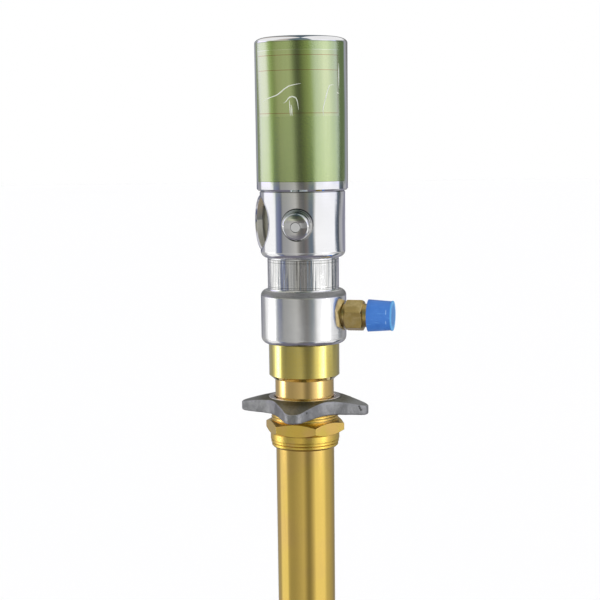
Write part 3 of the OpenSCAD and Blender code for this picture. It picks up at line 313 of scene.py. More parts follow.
def heading(turn, tilt=0.0):
    """Unit vector that points away from the pump's axis, tilted downwards."""
    level = cos(radians(tilt))
    return Vector((level * cos(radians(turn)), level * sin(radians(turn)), -sin(radians(tilt))))


UP = Vector((0, 0, 1))
PUMP = (Vector((0, 0, 0)), UP)
INLET = mount("air_inlet")
OUTLET = mount("oil_outlet")
PLUG_TURN = 262
PLUG_TILT = 8
PLUG_Z = 0.1619
PLUG = (Vector((0, 0, PLUG_Z)), heading(PLUG_TURN, PLUG_TILT))
# The exhaust port lies beside the pump's axis, towards the back
EXHAUST_TURN = 195
EXHAUST_SHIFT = 0.008
EXHAUST_Z = 0.158
EXHAUST = (Vector((0, 0, EXHAUST_Z)) + heading(EXHAUST_TURN - 90) * EXHAUST_SHIFT,
           heading(EXHAUST_TURN))


# Materials

def surface(name):
    """A new material with its tree and the place on the object."""
    material = bpy.data.materials.new(name)
    material.use_nodes = True
    t = Tree(material.node_tree)
    return material, t, t.add("ShaderNodeTexCoord").outputs["Object"]


def shaded(t, sockets):
    shader = t.add("ShaderNodeBsdfPrincipled", sockets)
    t.add("ShaderNodeOutputMaterial", {"Surface": shader.outputs[0]})


def darker(colour, share):
    return tuple(c * share for c in colour)


# Turning marks around the pump's axis, as their scale along X, Y and Z
RINGS = (15, 15, 5000)
# Share by which the gloss of a surface varies
WEAR = 0.15


def finish(name, base, metallic=1.0, roughness=0.2, speckle=0.1, tint=None, lines=None,
           bump=0.02, bump_scale=900, patches=30, clouds=None, round_edge=0.0, above=None,
           coat=0.0, dull=None, ring=None):
    """A surface with patches of colour, fine speckle, an uneven gloss and a fine relief.

    patches and bump_scale are the scales of the patches and of the fine noise. tint colours the
    patches, lines stretches turning marks along X, Y and Z, clouds is a second noise's scale and
    colour, round_edge softens the edges, and above gives a height, the colour that the surface
    takes over it, and how soft the change is. coat is the weight of a clear passivation layer,
    dull gives two heights and the colour of the matt machined band between them, and ring gives
    an axis, two radii and the colour of a groove around the axis."""
    material, t, at = surface(name)
    patch = t.noise(at, patches, 4)
    fine = t.noise(at, bump_scale, 3)
    colour = t.mix(t.spread(patch, 0.35, 0.65, 0, 1), base, tint or darker(base, 0.9))
    relief = fine
    if clouds:
        cloud = t.noise(at, clouds[0], 5)
        colour = t.mix(t.spread(cloud, 0.45, 0.62, 0, 0.9), colour, clouds[1])
    if lines:
        marks = t.noise(at, 1, 2, lines)
        relief = t.mix(0.7, fine, marks)
        colour = t.mix(t.spread(marks, 0.3, 0.7, 0, speckle), colour, darker(base, 0.6))
    height = t.split(at)["Z"]
    if above:
        level, shade, soft = above
        colour = t.mix(t.spread(height, level - soft, level + soft, 0, 1), colour, shade)
    if ring:
        axis, low, high, shade = ring
        groove = t.band(t.beside(at, axis), low, high, CRISP)
        colour = t.mix(t.times(groove, 0.7), colour, shade)
    colour = t.mix(t.spread(fine, 0.45, 0.75, 0, speckle), colour, darker(base, 0.5))
    gloss = t.spread(patch, 0.3, 0.7, roughness * (1 - WEAR), roughness * (1 + WEAR))
    if dull:
        low, high, shade = dull
        matt = t.band(height, low, high, 0.0003)
        grain = t.mix(t.spread(fine, 0.4, 0.6, 0, 1), shade, darker(shade, 0.8))
        colour = t.mix(matt, colour, grain)
        metallic = t.spread(matt, 0, 1, metallic, 0.35)
        gloss = t.math("ADD", gloss, t.times(matt, 0.15))
    shaded(t, {"Base Color": colour, "Metallic": metallic, "Roughness": gloss,
               "Normal": t.bump(relief, bump, round_edge), "Coat Weight": coat, "Coat IOR": 2.0,
               "Coat Roughness": 0.08})
    return material


def wrapped(t, at):
    """Turn in degrees around the pump's axis, 0 in front and 90 at the right, and the height."""
    parts = t.split(at)
    turn = t.math("ARCTAN2", parts["X"], t.times(parts["Y"], -1.0))
    return t.times(turn, 180 / pi), parts["Z"]


# The clear film on the shell's label: turns of its sides, heights of its rims, and the heights
# between which its pale upper edge lies
FILM_TURNS = (-68, 52.5)
FILM_RIMS = (0.2334, 0.2788)
FILM_EDGE = (FILM_RIMS[1] - 0.0003, FILM_RIMS[1] + 0.0002)
# Its ruled lines: their heights, the turns where they begin and end, and half their width in
# metres and, for the upright line, in degrees
RULES = (0.2356, 0.2650, 0.2752)
RULE_START = FILM_TURNS[0] + 4
RULE_SIDE = 49.8
RULE_HALF = 0.00016
SIDE_HALF = 0.3
# Width of the label's dark rims, below and above
LABEL_RIMS = (0.0005, 0.0006)


def label_foil(z_low, z_high):
    """Green metallic foil with a clear film over its middle, and dark rims."""
    material, t, at = surface("green_foil")
    turn, height = wrapped(t, at)
    patch = t.noise(at, 22, 4)
    brushed = t.noise(at, 1, 3, (900, 900, 25))
    fine = t.noise(at, 1500, 3)
    colour = t.mix(t.spread(patch, 0.35, 0.65, 0, 1), (0.49, 0.60, 0.27), (0.52, 0.62, 0.30))
    colour = t.mix(t.spread(brushed, 0.35, 0.7, 0, 0.10), colour, (0.30, 0.38, 0.14))
    width = t.band(turn, *FILM_TURNS, 0.15)
    film = t.times(width, t.band(height, *FILM_RIMS, CRISP))
    colour = t.mix(t.times(film, 0.25), colour, (0.66, 0.68, 0.40))
    inside = t.band(turn, RULE_START, RULE_SIDE, 0.2)
    for rule in RULES:
        red = t.times(t.band(height, rule - RULE_HALF, rule + RULE_HALF, CRISP), inside)
        colour = t.mix(t.times(red, 0.75), colour, (0.36, 0.09, 0.03))
    side = t.times(t.band(turn, RULE_SIDE - SIDE_HALF, RULE_SIDE + SIDE_HALF, 0.15),
                   t.band(height, RULES[0], RULES[2], CRISP))
    colour = t.mix(t.times(side, 0.6), colour, (0.40, 0.16, 0.10))
    film_edge = t.times(width, t.band(height, *FILM_EDGE, CRISP))
    colour = t.mix(t.times(film_edge, 0.4), colour, (0.80, 0.84, 0.66))
    for low, high in ((z_low, z_low + LABEL_RIMS[0]), (z_high - LABEL_RIMS[1], z_high)):
        rim = t.band(height, low, high, CRISP)
        colour = t.mix(t.times(rim, 0.5), colour, (0.20, 0.22, 0.14))
    colour = t.mix(t.spread(fine, 0.5, 0.8, 0, 0.12), colour, (0.26, 0.33, 0.12))
    waves = t.noise(at, 1, 2, (60, 60, 18))
    uneven = t.mix(film, fine, t.mix(0.85, fine, waves))
    shaded(t, {"Base Color": colour, "Metallic": 1.0, "Roughness": t.spread(film, 0, 1, 0.11, 0.14),
               "Normal": t.bump(uneven, 0.07), "Coat Weight": 1.0, "Coat Roughness": 0.06})
    return material


# Dark rules and rims of the neck's foil: the edge that each is measured from, 0 for the lower and
# 1 for the upper, the heights over that edge between which it lies, and how dark it is
NECK_RULES = ((1, -0.0024, -0.0021, 0.75), (0, 0.0014, 0.0017, 0.75), (1, -0.0004, 0, 0.6),
              (0, 0, 0.0004, 0.5))


def neck_foil(z_low, z_high):
    """Silver foil, creased along the axis, with painted reflections darkening the creases and thin
    dark rules near its rims.
    """
    material, t, at = surface("silver_foil")
    height = wrapped(t, at)[1]
    fine = t.noise(at, 700, 3)
    folds = t.noise(at, 1, 2, (330, 330, 10))
    dents = t.noise(at, 140, 2)
    # Painted reflection: the foil is darker along its creases
    colour = t.mix(t.spread(folds, 0.45, 0.62, 0, 1), (0.86, 0.86, 0.85), (0.66, 0.66, 0.64))
    for edge, low, high, dark in NECK_RULES:
        start = (z_low, z_high)[edge]
        rule = t.band(height, start + low, start + high, CRISP)
        colour = t.mix(t.times(rule, dark), colour, (0.10, 0.10, 0.09))
    colour = t.mix(t.spread(fine, 0.5, 0.8, 0, 0.08), colour, (0.45, 0.45, 0.42))
    relief = t.mix(0.02, t.mix(0.12, folds, dents), fine)
    shaded(t, {"Base Color": colour, "Metallic": 0.95, "Roughness": 0.10,
               "Normal": t.bump(relief, 0.9)})
    return material


# The cap's closed end and where its painted glints begin and end, measured along the outlet
# from the thread's end, and the painted glints' heights
CAP_END = 0.0044
CAP_GLINT = (CAP_END - 0.0040, CAP_END - 0.0036)
CAP_GLINTS = ((0.0916, 0.0948), (0.0845, 0.0868))
# Radii between which the cap's closed end gets paler, as a painted highlight
CAP_PALE = (0.0070, 0.0095)


def cap_plastic():
    """Soft blue plastic, pale streaks along it, painted glints, and a painted highlight at its end.
    """
    material, t, at = surface("blue_plastic")
    reach = t.along(at, OUTLET)
    height = t.split(at)["Z"]
    patch = t.noise(at, 90, 3)
    fine = t.noise(at, 1400, 3)
    # Pale streaks along the cap, which also give it a faint relief
    streaks = t.noise(at, 1, 3, (60, 700, 700))
    colour = t.mix(t.spread(patch, 0.35, 0.65, 0, 1), (0.035, 0.16, 0.55), (0.05, 0.20, 0.62))
    colour = t.mix(t.spread(streaks, 0.58, 0.75, 0, 0.4), colour, (0.14, 0.40, 0.82))
    # Two painted glints near the closed end
    for low, high in CAP_GLINTS:
        glint = t.times(t.band(reach, *CAP_GLINT, 0.0002), t.band(height, low, high, 0.0005))
        colour = t.mix(t.times(glint, 0.7), colour, (0.45, 0.68, 0.92))
    # Painted highlight: the closed end gets paler towards its rim
    pale = t.times(t.spread(reach, CAP_END - 0.0012, CAP_END - 0.0002, 0, 1),
                   t.spread(t.beside(at, OUTLET), *CAP_PALE, 0.35, 1))
    colour = t.mix(pale, colour, (0.12, 0.45, 0.85))
    colour = t.mix(t.spread(fine, 0.5, 0.8, 0, 0.2), colour, (0.02, 0.12, 0.45))
    shaded(t, {"Base Color": colour, "Metallic": 0.0,
               "Roughness": t.spread(patch, 0.3, 0.7, 0.30, 0.42),
               "Normal": t.bump(t.mix(0.5, fine, streaks), 0.08), "Specular IOR Level": 0.4})
    return material


# Radius of the exhaust port's dull inside, outer radius of its rim, and how far from the pump's
# axis its chamfer begins
PORT_R = 0.0195
PORT_RIM = 0.0215
PORT_MOUTH = 0.0285
# Heights over the port's axis where each painted reflection on its inside sets in and is full,
# and its colour
PORT_REFLECTIONS = ((0.002, 0.014, (0.50, 0.42, 0.30)), (0.0014, 0.0008, (0.60, 0.60, 0.55)),
               (-0.004, -0.012, (0.42, 0.41, 0.36)))
# Heights of the groove below the shell, painted dark as its shade
GROOVE = (0.1802, 0.1812)
# Radii of the wall of the recess around the pilot plug, how far from the pump's axis it begins,
# and the heights over the plug between which its shade sets in
RECESS = (0.0111, 0.01175)
RECESS_FLOOR = 0.020
RECESS_LIT = (-0.006, 0.004)
# Radius by which the body's edges are rounded
BODY_EDGE = 0.00015


def body_metal():
    """Polished aluminium; the exhaust port's dull bore has painted shade and painted reflections.
    """
    material, t, at = surface("polished_aluminium")
    patch = t.noise(at, 30, 4)
    fine = t.noise(at, 900, 3)
    marks = t.noise(at, 1, 2, RINGS)
    colour = t.mix(t.spread(patch, 0.35, 0.65, 0, 1), (0.92, 0.92, 0.93), (0.86, 0.86, 0.87))
    colour = t.mix(t.spread(marks, 0.3, 0.7, 0, 0.06), colour, (0.55, 0.55, 0.56))
    height = t.split(at)["Z"]
    radius, out = t.beside(at, EXHAUST), t.along(at, EXHAUST)
    inside = t.times(t.spread(radius, PORT_R, PORT_R + CRISP, 1, 0),
                     t.spread(out, PORT_MOUTH, PORT_MOUTH + CRISP, 1, 0))
    # Painted shade: the dark grey of the bore, under its painted reflections
    dull = (0.26, 0.27, 0.27)
    for start, full, shade in PORT_REFLECTIONS:
        share = t.spread(height, EXHAUST_Z + start, EXHAUST_Z + full, 0, 1)
        dull = t.mix(share, dull, shade)
    colour = t.mix(inside, colour, dull)
    rim = t.times(t.spread(radius, PORT_RIM, PORT_RIM + CRISP, 1, 0),
                  t.spread(out, PORT_MOUTH, PORT_MOUTH + CRISP, 0, 1))
    colour = t.mix(t.times(rim, 0.75), colour, (0.42, 0.42, 0.48))
    # Painted shade in the groove below the shell
    groove = t.band(height, *GROOVE, CRISP)
    colour = t.mix(t.times(groove, 0.7), colour, (0.08, 0.08, 0.09))
    recess = t.times(t.band(t.beside(at, PLUG), *RECESS, 0.00005),
                     t.spread(t.along(at, PLUG), RECESS_FLOOR, RECESS_FLOOR + 0.001, 0, 0.9))
    lit = t.spread(height, PLUG_Z + RECESS_LIT[0], PLUG_Z + RECESS_LIT[1], 0.25, 1)
    colour = t.mix(t.times(recess, lit), colour, (0.07, 0.07, 0.07))
    shaded(t, {"Base Color": colour, "Metallic": t.spread(inside, 0, 1, 1, 0),
               "Roughness": t.spread(inside, 0, 1, 0.07, 0.45),
               "Normal": t.bump(t.mix(0.6, fine, marks), 0.01, BODY_EDGE)})
    return material


# A pit in the casting and three in a row that make a crack: the place of each and its size
IRON_MARKS = [((0.0012, -0.0413, 0.0219), 0.0012), ((0.0407, -0.0161, 0.0218), 0.0010),
              ((0.0414, -0.0159, 0.0204), 0.0010), ((0.0421, -0.0157, 0.0190), 0.0010)]
# Radii between which the painted shade on the casting's upper face goes from its darkest, near
# the hub, to grey
TOP_SHADE_RADII = (0.032, 0.040)


def cast_iron():
    """Plated casting: grey and pitted, with painted shade on its upper face, darkest near the hub.
    """
    material, t, at = surface("cast_iron")
    patch = t.noise(at, 60, 4)
    cloud = t.noise(at, 160, 5)
    fine = t.noise(at, 520, 3)
    colour = t.mix(t.spread(patch, 0.35, 0.65, 0, 1), (0.36, 0.36, 0.365), (0.24, 0.24, 0.245))
    colour = t.mix(t.spread(cloud, 0.45, 0.62, 0, 0.9), colour, (0.38, 0.38, 0.385))
    # Painted shade: faces that look upwards are darker, darkest near the hub
    facing = t.split(t.add("ShaderNodeNewGeometry").outputs["Normal"])["Z"]
    hub = t.spread(t.beside(at, PUMP), *TOP_SHADE_RADII, 0, 1)
    top_shade = t.mix(hub, (0.10, 0.09, 0.05), (0.25, 0.25, 0.24))
    colour = t.mix(t.spread(facing, 0.6, 0.9, 0, 1), colour, top_shade)
    for mark, size in IRON_MARKS:
        near = t.vector("DISTANCE", at, mark, "Value")
        colour = t.mix(t.spread(near, size * 0.5, size, 0.85, 0), colour, (0.05, 0.05, 0.045))
    colour = t.mix(t.spread(fine, 0.45, 0.75, 0, 0.4), colour, (0.24, 0.24, 0.24))
    shaded(t, {"Base Color": colour, "Metallic": 0.85,
               "Roughness": t.spread(patch, 0.3, 0.7, 0.36, 0.48), "Normal": t.bump(fine, 0.35)})
    return material


# Heights of the matt band at the outlet body's top, whose dark grey is painted shade
OUTLET_RIM = (0.1045, 0.1086)
# Height above which the plug's head has painted shade, and radii of the ring in its dimple
PLUG_SHADE = 0.1630
PLUG_RING = (0.0033, 0.0038)
# Radius by which the edges of hexagons and of the plug are rounded
SOFT_EDGE = 0.0005

chrome = finish("chrome", (0.92, 0.92, 0.93), roughness=0.045, speckle=0.03, bump=0.003, patches=12)
turned = finish("turned_aluminium", (0.92, 0.92, 0.92), roughness=0.16, speckle=0.08, bump=0.02,
                lines=RINGS)
# A matt band at the top, its dark grey painted shade
outlet_metal = finish("outlet_aluminium", (0.92, 0.92, 0.92), roughness=0.16, speckle=0.08,
                      bump=0.02, lines=RINGS, dull=(*OUTLET_RIM, (0.21, 0.21, 0.21)))
plug_chrome = finish("plug_chrome", (0.86, 0.86, 0.85), roughness=0.07, speckle=0.06, bump=0.01,
                     patches=60, round_edge=SOFT_EDGE,
                     above=(PLUG_SHADE, (0.38, 0.42, 0.42), 0.0014),
                     ring=(PLUG, *PLUG_RING, (0.12, 0.12, 0.12)))
ground = finish("ground_steel", (0.62, 0.63, 0.65), roughness=0.12, speckle=0.05, lines=RINGS)
steel = finish("steel", (0.50, 0.50, 0.51), roughness=0.3, speckle=0.15, tint=(0.42, 0.42, 0.44))
yellow_zinc = finish("yellow_zinc", (0.72, 0.57, 0.115), roughness=0.12, tint=(0.66, 0.57, 0.13),
                     speckle=0.10, lines=RINGS, patches=16, clouds=(26, (0.66, 0.58, 0.16)),
                     coat=0.5)
gold_zinc = finish("gold_zinc", (0.86, 0.60, 0.15), roughness=0.12, tint=(0.80, 0.58, 0.14),
                   speckle=0.08, lines=(300, 300, 20), patches=14, clouds=(20, (0.80, 0.54, 0.17)),
                   above=(0.02, (0.82, 0.57, 0.24), 0.03))
adapter_zinc = finish("adapter_zinc", (0.96, 0.66, 0.13), roughness=0.24, tint=(0.90, 0.68, 0.15),
                      speckle=0.12, patches=45, clouds=(70, (0.96, 0.63, 0.19)), bump=0.03,
                      round_edge=SOFT_EDGE)
iron = cast_iron()
machined = finish("machined_ring", (0.80, 0.70, 0.66), roughness=0.25, speckle=0.2, patches=120,
                  tint=(0.86, 0.80, 0.78), bump=0.05)
brass = finish("brass", (0.72, 0.53, 0.18), roughness=0.32, speckle=0.25, tint=(0.60, 0.44, 0.16),
               patches=80, bump=0.06, round_edge=SOFT_EDGE, clouds=(150, (0.78, 0.61, 0.28)))
bronze = finish("bronze", (0.55, 0.40, 0.20), roughness=0.28, speckle=0.15, lines=RINGS)
sinter = finish("sintered_bronze", (0.36, 0.35, 0.27), metallic=0.6, roughness=0.6, speckle=0.5,
                bump=0.6, bump_scale=1500)
rubber = finish("black_rubber", (0.02, 0.02, 0.02), metallic=0, roughness=0.6, speckle=0.3,
                bump=0.1)
packing = finish("packing", (0.20, 0.12, 0.05), metallic=0, roughness=0.7, speckle=0.4, bump=0.3)
clear_crease = finish("clear_crease", (0.86, 0.88, 0.80), metallic=0.3, roughness=0.25, speckle=0.2,
                      tint=(0.75, 0.80, 0.66), patches=200)

FINISHES = {
    "chromed_shell": chrome,
    "green_foil": label_foil(*(corner[2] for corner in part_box("shell_label"))),
    "silver_foil": neck_foil(*(corner[2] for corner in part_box("neck_label"))),
    "polished_aluminium": body_metal(), "turned_aluminium": turned, "chromed_plug": plug_chrome,
    "chromed_rod": ground, "steel": steel, "yellow_zinc": yellow_zinc, "gold_zinc": gold_zinc,
    "grey_iron": iron, "brass": brass, "bronze": bronze, "sintered_bronze": sinter,
    "blue_plastic": cap_plastic(), "black_rubber": rubber, "brown_packing": packing,
}
# Nodes that look different from the others of their slot
OWN_FINISHES = {"adapter_body": adapter_zinc, "outlet_body": outlet_metal}


# Round faces and their normals

AXES = {
    "valve_body": [PUMP, EXHAUST, INLET, PLUG], "outlet_body": [PUMP, OUTLET],
    "outlet_nipple": [OUTLET], "protective_cap": [OUTLET], "pilot_plug": [PLUG],
    "plug_washer": [PLUG], "air_inlet_bush": [INLET], "exhaust_silencer": [EXHAUST],
    "silencer_ring": [EXHAUST],
}
# Distance of a hexagon's flats from its axis
FLATS = {"adapter_body": 0.0267, "outlet_nipple": 0.0105, "piston_nut": 0.0095}


# What counts as true: how much of a face's normal lies in the plane of its axis, how much of it
# points along the axis on an end face, how well a corner's normal fits the face's, how square a
# hexagon's flat stands to the axis and how near its distance is, and how alike the normals of two
# neighbours are where the edge between them is soft
IN_PLANE = 0.99
END_FACE = 0.999
CORNER_FIT = 0.985
SQUARE = 0.01
FLAT_NEAR = 3e-5
ALIKE = 0.88


def across(point, axis):
    """Unit vector from an axis to a point, at right angles to the axis."""
    origin, way = axis
    offset = point - origin
    return (offset - way * offset.dot(way)).normalized()


def round_part(face, corners, axis):
    """A face's normal as its share outwards and its share along an axis, if it turns about it."""
    normal, way = face.normal, axis[1]
    along = normal.dot(way)
    outwards = normal.dot(across(face.center, axis))
    part = Vector((outwards, along))
    if part.length < IN_PLANE:
        return None
    part.normalize()
    if abs(along) < END_FACE:
        for corner in corners:
            if (across(corner, axis) * part.x + way * part.y).dot(normal) < CORNER_FIT:
                return None
    return part


def true_normals(item, axes, flat=None):
    """Sets the normals of round faces from the axis they turn about, and keeps edges sharp."""
    mesh = item.data
    points = [v.co.copy() for v in mesh.vertices]
    keys = [tuple(round(c * 1e6) for c in p) for p in points]
    kinds, around = [], {}
    for face in mesh.polygons:
        corners = [points[i] for i in face.vertices]
        kind = (None, face.normal.copy())
        origin, way = axes[0]
        on_flat = (flat is not None and abs(face.normal.dot(way)) < SQUARE
                   and abs(face.normal.dot(face.center - origin) - flat) < FLAT_NEAR)
        for k, axis in enumerate(() if on_flat else axes):
            part = round_part(face, corners, axis)
            if part:
                kind = (k, part)
                break
        kinds.append(kind)
        if not on_flat:
            for i in face.vertices:
                around.setdefault(keys[i], []).append((kind, face.area))
    normals = []
    for face, (k, part) in zip(mesh.polygons, kinds):
        for i in face.vertices:
            total = part * 1e-12
            for (other_k, other), area in around.get(keys[i], ()):
                if other_k == k and other.dot(part) > ALIKE:
                    total = total + other * area
            total = total.normalized()
            if k is None:
                normals.append(total)
            else:
                outwards, way = across(points[i], axes[k]), axes[k][1]
                normals.append((outwards * total.x + way * total.y).normalized())
    for face in mesh.polygons:
        face.use_smooth = True
    mesh.normals_split_custom_set(normals)


def dress(name, material):
    item = nodes[name]
    item.data.materials.clear()
    item.data.materials.append(material)
    true_normals(item, AXES.get(name, [PUMP]), FLATS.get(name))


for row in record["subparts"]:
    dress(row["node"], OWN_FINISHES.get(row["node"], FINISHES[row["material_slot"]]))


# Pieces made here

def piece(name, points, faces, body, material, sharp):
    """A mesh piece that rides on a body, smooth up to an angle in degrees."""
    mesh = bpy.data.meshes.new(name)
    mesh.from_pydata(points, [], faces)
    mesh.materials.append(material)
    item = bpy.data.objects.new(name, mesh)
    scene.collection.objects.link(item)
    for face in mesh.polygons:
        face.use_smooth = True
    split = item.modifiers.new("sharp", "EDGE_SPLIT")
    split.split_angle = radians(sharp)
    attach(item, body)
    return item


def grid_faces(rows, columns):
    """Faces between rows of points, closed around the columns."""
    return [(r * columns + c, r * columns + (c + 1) % columns,
             (r + 1) * columns + (c + 1) % columns, (r + 1) * columns + c)
            for r in range(rows - 1) for c in range(columns)]


def thread(name, axis, low, high, root, crest, pitch, body, slot_name, material):
    """A screw thread on an axis: a ridge that climbs a pitch a turn and fades out at both ends."""
    steps, rows = 144, int((high - low) / pitch * 12)
    origin, way = axis
    side = way.orthogonal().normalized()
    other = way.cross(side)
    points = []
    for row in range(rows + 1):
        z = low + (high - low) * row / rows
        fade = min(1, (z - low) / (pitch / 3), (high - z) / (pitch / 3))
        for step in range(steps):
            turn = 2 * pi * step / steps
            phase = (z / pitch - turn / (2 * pi)) % 1
            ridge = min(1, max(0, 1.25 - abs(phase - 0.5) * 4)) * fade
            r = root + (crest - root) * ridge
            points.append(origin + way * z + (side * cos(turn) + other * sin(turn)) * r)
    return piece(name, points, grid_faces(rows + 1, steps), body, material, sharp=70)


# Root radius, crest radius and pitch of the threads that show, and the step by which their ends
# reach into a hexagon or keep off a face
ADAPTER_THREAD = (0.02506, 0.02555, 0.0021)
NIPPLE_THREAD = (0.00825, 0.0089, 0.0018)
END_STEP = 0.0002
# The top of the adapter's hexagon and thread, and the distance from the pump's axis of the face
# that the nipple is screwed into and of its hexagon
HEX_TOP = 0.010
THREAD_TOP = 0.0215
SPOT = 0.0314
NIPPLE_HEX = 0.0327
thread("adapter_thread", PUMP, HEX_TOP - END_STEP, THREAD_TOP, *ADAPTER_THREAD, "adapter",
       "gold_zinc", adapter_zinc)
thread("nipple_thread", (Vector((0, 0, OUTLET[0].z)), OUTLET[1]), SPOT + END_STEP,
       NIPPLE_HEX + END_STEP, *NIPPLE_THREAD, "pump", "brass", brass)


# Star nut, with the lobes' edges rounded as cast and a machined ring around the tube

# Distance of the lobes' tips and of the hollows from the axis with the radius of each, the turn
# in degrees, the heights of top and underside at the hub, the top's drop from the hub to the tips
# and the height of the tips, the distance where the drop begins, the radii of the bore, of the
# thread and of the machined ring, the height of the plate under the ring, the radius of the cast
# edges, and how much higher the back left lobe is
STAR = dict(r=0.04896, waist=0.0305, tip=0.0075, hollow=0.030, turn=-11.5, top=0.0280, low=0.0168,
            droop=0.0067, tip_h=0.0069, flat=0.0274, bore=0.0233, thread=0.0252, ring=0.0272,
            plate=0.0254, edge=0.0013, lift=0.0015)
# How far the cast face stays away from the machined ring, and how far it lies below the ring
RING_GAP = 0.0004
RING_RISE = 0.0002
# Chamfers of the machined ring, outside and inside
RING_CHAMFERS = (0.0003, 0.0006)
# Lumps of the cast faces: their greatest depth, and their coarse and fine scales
LUMP = 0.00022
LUMP_SCALES = (160, 420)


def arc_points(cx, cy, r, start, end, steps):
    turns = [start + (end - start) * i / steps for i in range(steps + 1)]
    return [(cx + r * cos(turn), cy + r * sin(turn)) for turn in turns]


def star_outline():
    """The star's outline: round tips, straight flanks and round hollows, as turn and distance."""
    s = STAR
    tip_x = s["r"] - s["tip"]
    u = (s["waist"] + s["hollow"]) / sqrt(2)
    gap = hypot(u - tip_x, u)
    flank = atan2(u, u - tip_x) - acos((s["tip"] + s["hollow"]) / gap)
    tip = arc_points(tip_x, 0, s["tip"], -flank, flank, 20)
    hollow = arc_points(u, u, s["hollow"], pi + flank, 1.5 * pi - flank, 10)
    a, b = tip[-1], hollow[0]
    side = [(a[0] + (b[0] - a[0]) * i / 12, a[1] + (b[1] - a[1]) * i / 12) for i in range(1, 12)]
    back = [(y, x) for x, y in reversed(side)]
    lobe = tip + side + hollow + back
    return [(atan2(y, x) + k * pi / 2 + radians(s["turn"]), hypot(x, y))
            for k in range(4) for x, y in lobe]


def star_nut():
    s = STAR
    span = s["r"] - s["flat"]
    low_droop = s["droop"] + s["tip_h"] - (s["top"] - s["low"])
    middle = (s["top"] + s["low"]) / 2

    def drop(r):
        return max(0, r - s["flat"]) / span

    def lift(r, turn):
        """The back left lobe came out of the mould a little higher than the others."""
        return s["lift"] * max(0, -cos(turn - radians(s["turn"]))) ** 2 * drop(r)

    def top(r, turn):
        return s["top"] - s["droop"] * drop(r) + lift(r, turn)

    def under(r, turn):
        return s["low"] - low_droop * drop(r) + lift(r, turn)

    def cast(r, z, turn):
        """The radius and height of a cast point, where lumps only take material away."""
        at = Vector((r * cos(turn), r * sin(turn), z))
        coarse, fine = (noise.noise(at * scale) for scale in LUMP_SCALES)
        lump = (coarse + 0.5 * fine) * LUMP
        return r + min(0, lump), z + (min(0, lump) if z > middle else max(0, lump))

    e = s["edge"]
    rounded = [radians(a) for a in (0, 15, 30, 45, 60, 75, 90)]
    columns = []
    for turn, rim in star_outline():
        reach = rim - e
        inner = [s["thread"] + (reach - s["thread"]) * i / 5 for i in range(1, 5)]
        outer = [reach - (reach - s["ring"] - RING_GAP) * i / 6 for i in range(1, 7)]
        wall_low, wall_high = under(reach, turn) + e, top(reach, turn) - e
        section = [(r, under(r, turn)) for r in inner]
        section += [(reach + e * sin(a), wall_low - e * cos(a)) for a in rounded]
        section += [(rim, wall_low + (wall_high - wall_low) * i / 5) for i in range(1, 5)]
        section += [(reach + e * cos(a), wall_high + e * sin(a)) for a in rounded]
        section += [(r, top(r, turn)) for r in outer]
        column = [(s["thread"], s["plate"]), (s["thread"], s["low"])]
        column += [cast(r, z, turn) for r, z in section[:-1]]
        column += [section[-1], (s["ring"], s["top"] - RING_RISE)]
        columns.append([(r * cos(turn), r * sin(turn), z) for r, z in column])
    points = [point for row in zip(*columns) for point in row]
    star = piece("cast_star", points, grid_faces(len(columns[0]), len(columns)), "star",
                 iron, sharp=50)
    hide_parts("star_nut")
    out, into = RING_CHAMFERS
    ring = [(s["ring"], s["top"] - RING_RISE), (s["ring"] - out, s["top"]),
            (s["bore"] + into, s["top"]), (s["bore"], s["top"] - into), (s["bore"], s["plate"]),
            (s["thread"], s["plate"])]
    steps = 96
    points = [(r * cos(2 * pi * i / steps), r * sin(2 * pi * i / steps), z)
              for r, z in ring for i in range(steps)]
    piece("star_ring", points, grid_faces(len(ring), steps), "star", machined,
          sharp=25)


star_nut()


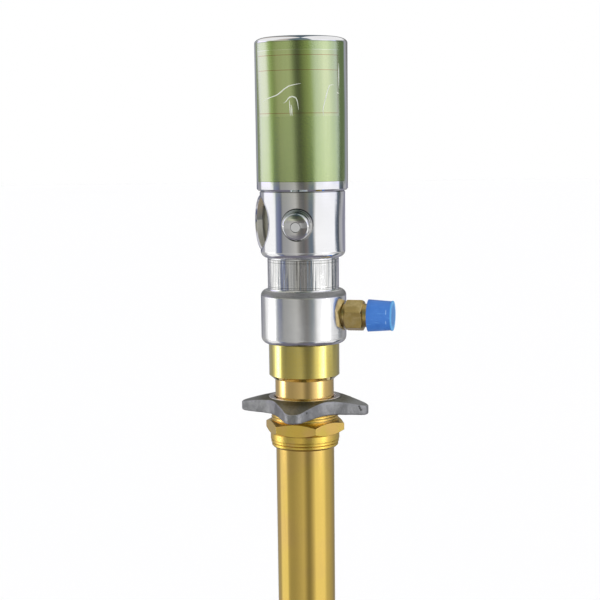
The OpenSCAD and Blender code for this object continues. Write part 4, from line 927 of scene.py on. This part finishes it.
# Creases of the clear film: turn in degrees and height in millimetres, along each crease
CREASES = [
    [(-55, 244.0), (-44, 246.2), (-31, 248.0), (-26, 249.9), (-20, 252.5), (-14.5, 254.3),
     (-7.5, 255.1), (-0.7, 255.8)],
    [(-22.3, 242.5), (-18.7, 243.6), (-15.8, 246.0), (-11.6, 247.1), (-6.8, 246.2), (-4.8, 243.2),
     (-3.7, 237.7)],
    [(-14.7, 244.3), (-14.1, 239.1), (-13.7, 233.6)],
    [(-12.3, 241.4), (-11.6, 233.6)],
    [(43.4, 254.9), (36.3, 254.7), (33.8, 252.1), (29.8, 245.1), (26.0, 237.7), (27.2, 233.6)],
    [(52.4, 248.8), (47.3, 249.9)],
    [(51.6, 270.0), (52.0, 262.0), (51.8, 252.0)],
]
# Half a crease's width, its height, and its gap to the label
CREASE_W = 0.00042
CREASE_H = 0.00015
CREASE_GAP = 0.00003
# A crease's section: shares of the half width and of the height
CREASE_SECTION = ((-1, 0.0), (-0.35, 0.9), (0.35, 0.9), (1, 0.0))


def creases():
    """Thin raised folds that taper out at their ends, lying on the shell's label."""
    radius = max(abs(c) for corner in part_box("shell_label") for c in corner[:2])
    points, faces = [], []
    for line in CREASES:
        dense = []
        for (a0, z0), (a1, z1) in zip(line, line[1:]):
            dense += [(a0 + (a1 - a0) * i / 5, z0 + (z1 - z0) * i / 5) for i in range(5)]
        dense.append(line[-1])
        flat = [Vector((radians(a) * radius, z / 1000)) for a, z in dense]
        for _ in range(3):
            inner = [(p + 2 * q + r) / 4 for p, q, r in zip(flat, flat[1:], flat[2:])]
            flat = [flat[0], *inner, flat[-1]]
        first = len(points)
        for i, p in enumerate(flat):
            way = (flat[min(i + 1, len(flat) - 1)] - flat[max(i - 1, 0)]).normalized()
            side = Vector((-way.y, way.x))
            taper = sin(pi * (0.06 + 0.88 * i / (len(flat) - 1)))
            for share, rise in CREASE_SECTION:
                q = p + side * CREASE_W * share * taper
                r = radius + CREASE_GAP + CREASE_H * rise * taper
                points.append((r * sin(q.x / radius), -r * cos(q.x / radius), q.y))
        corners = [first + i * 4 + j for i in range(len(flat) - 1) for j in range(3)]
        faces += [(c, c + 1, c + 5, c + 4) for c in corners]
    piece("film_creases", points, faces, "pump", clear_crease, sharp=80)


creases()
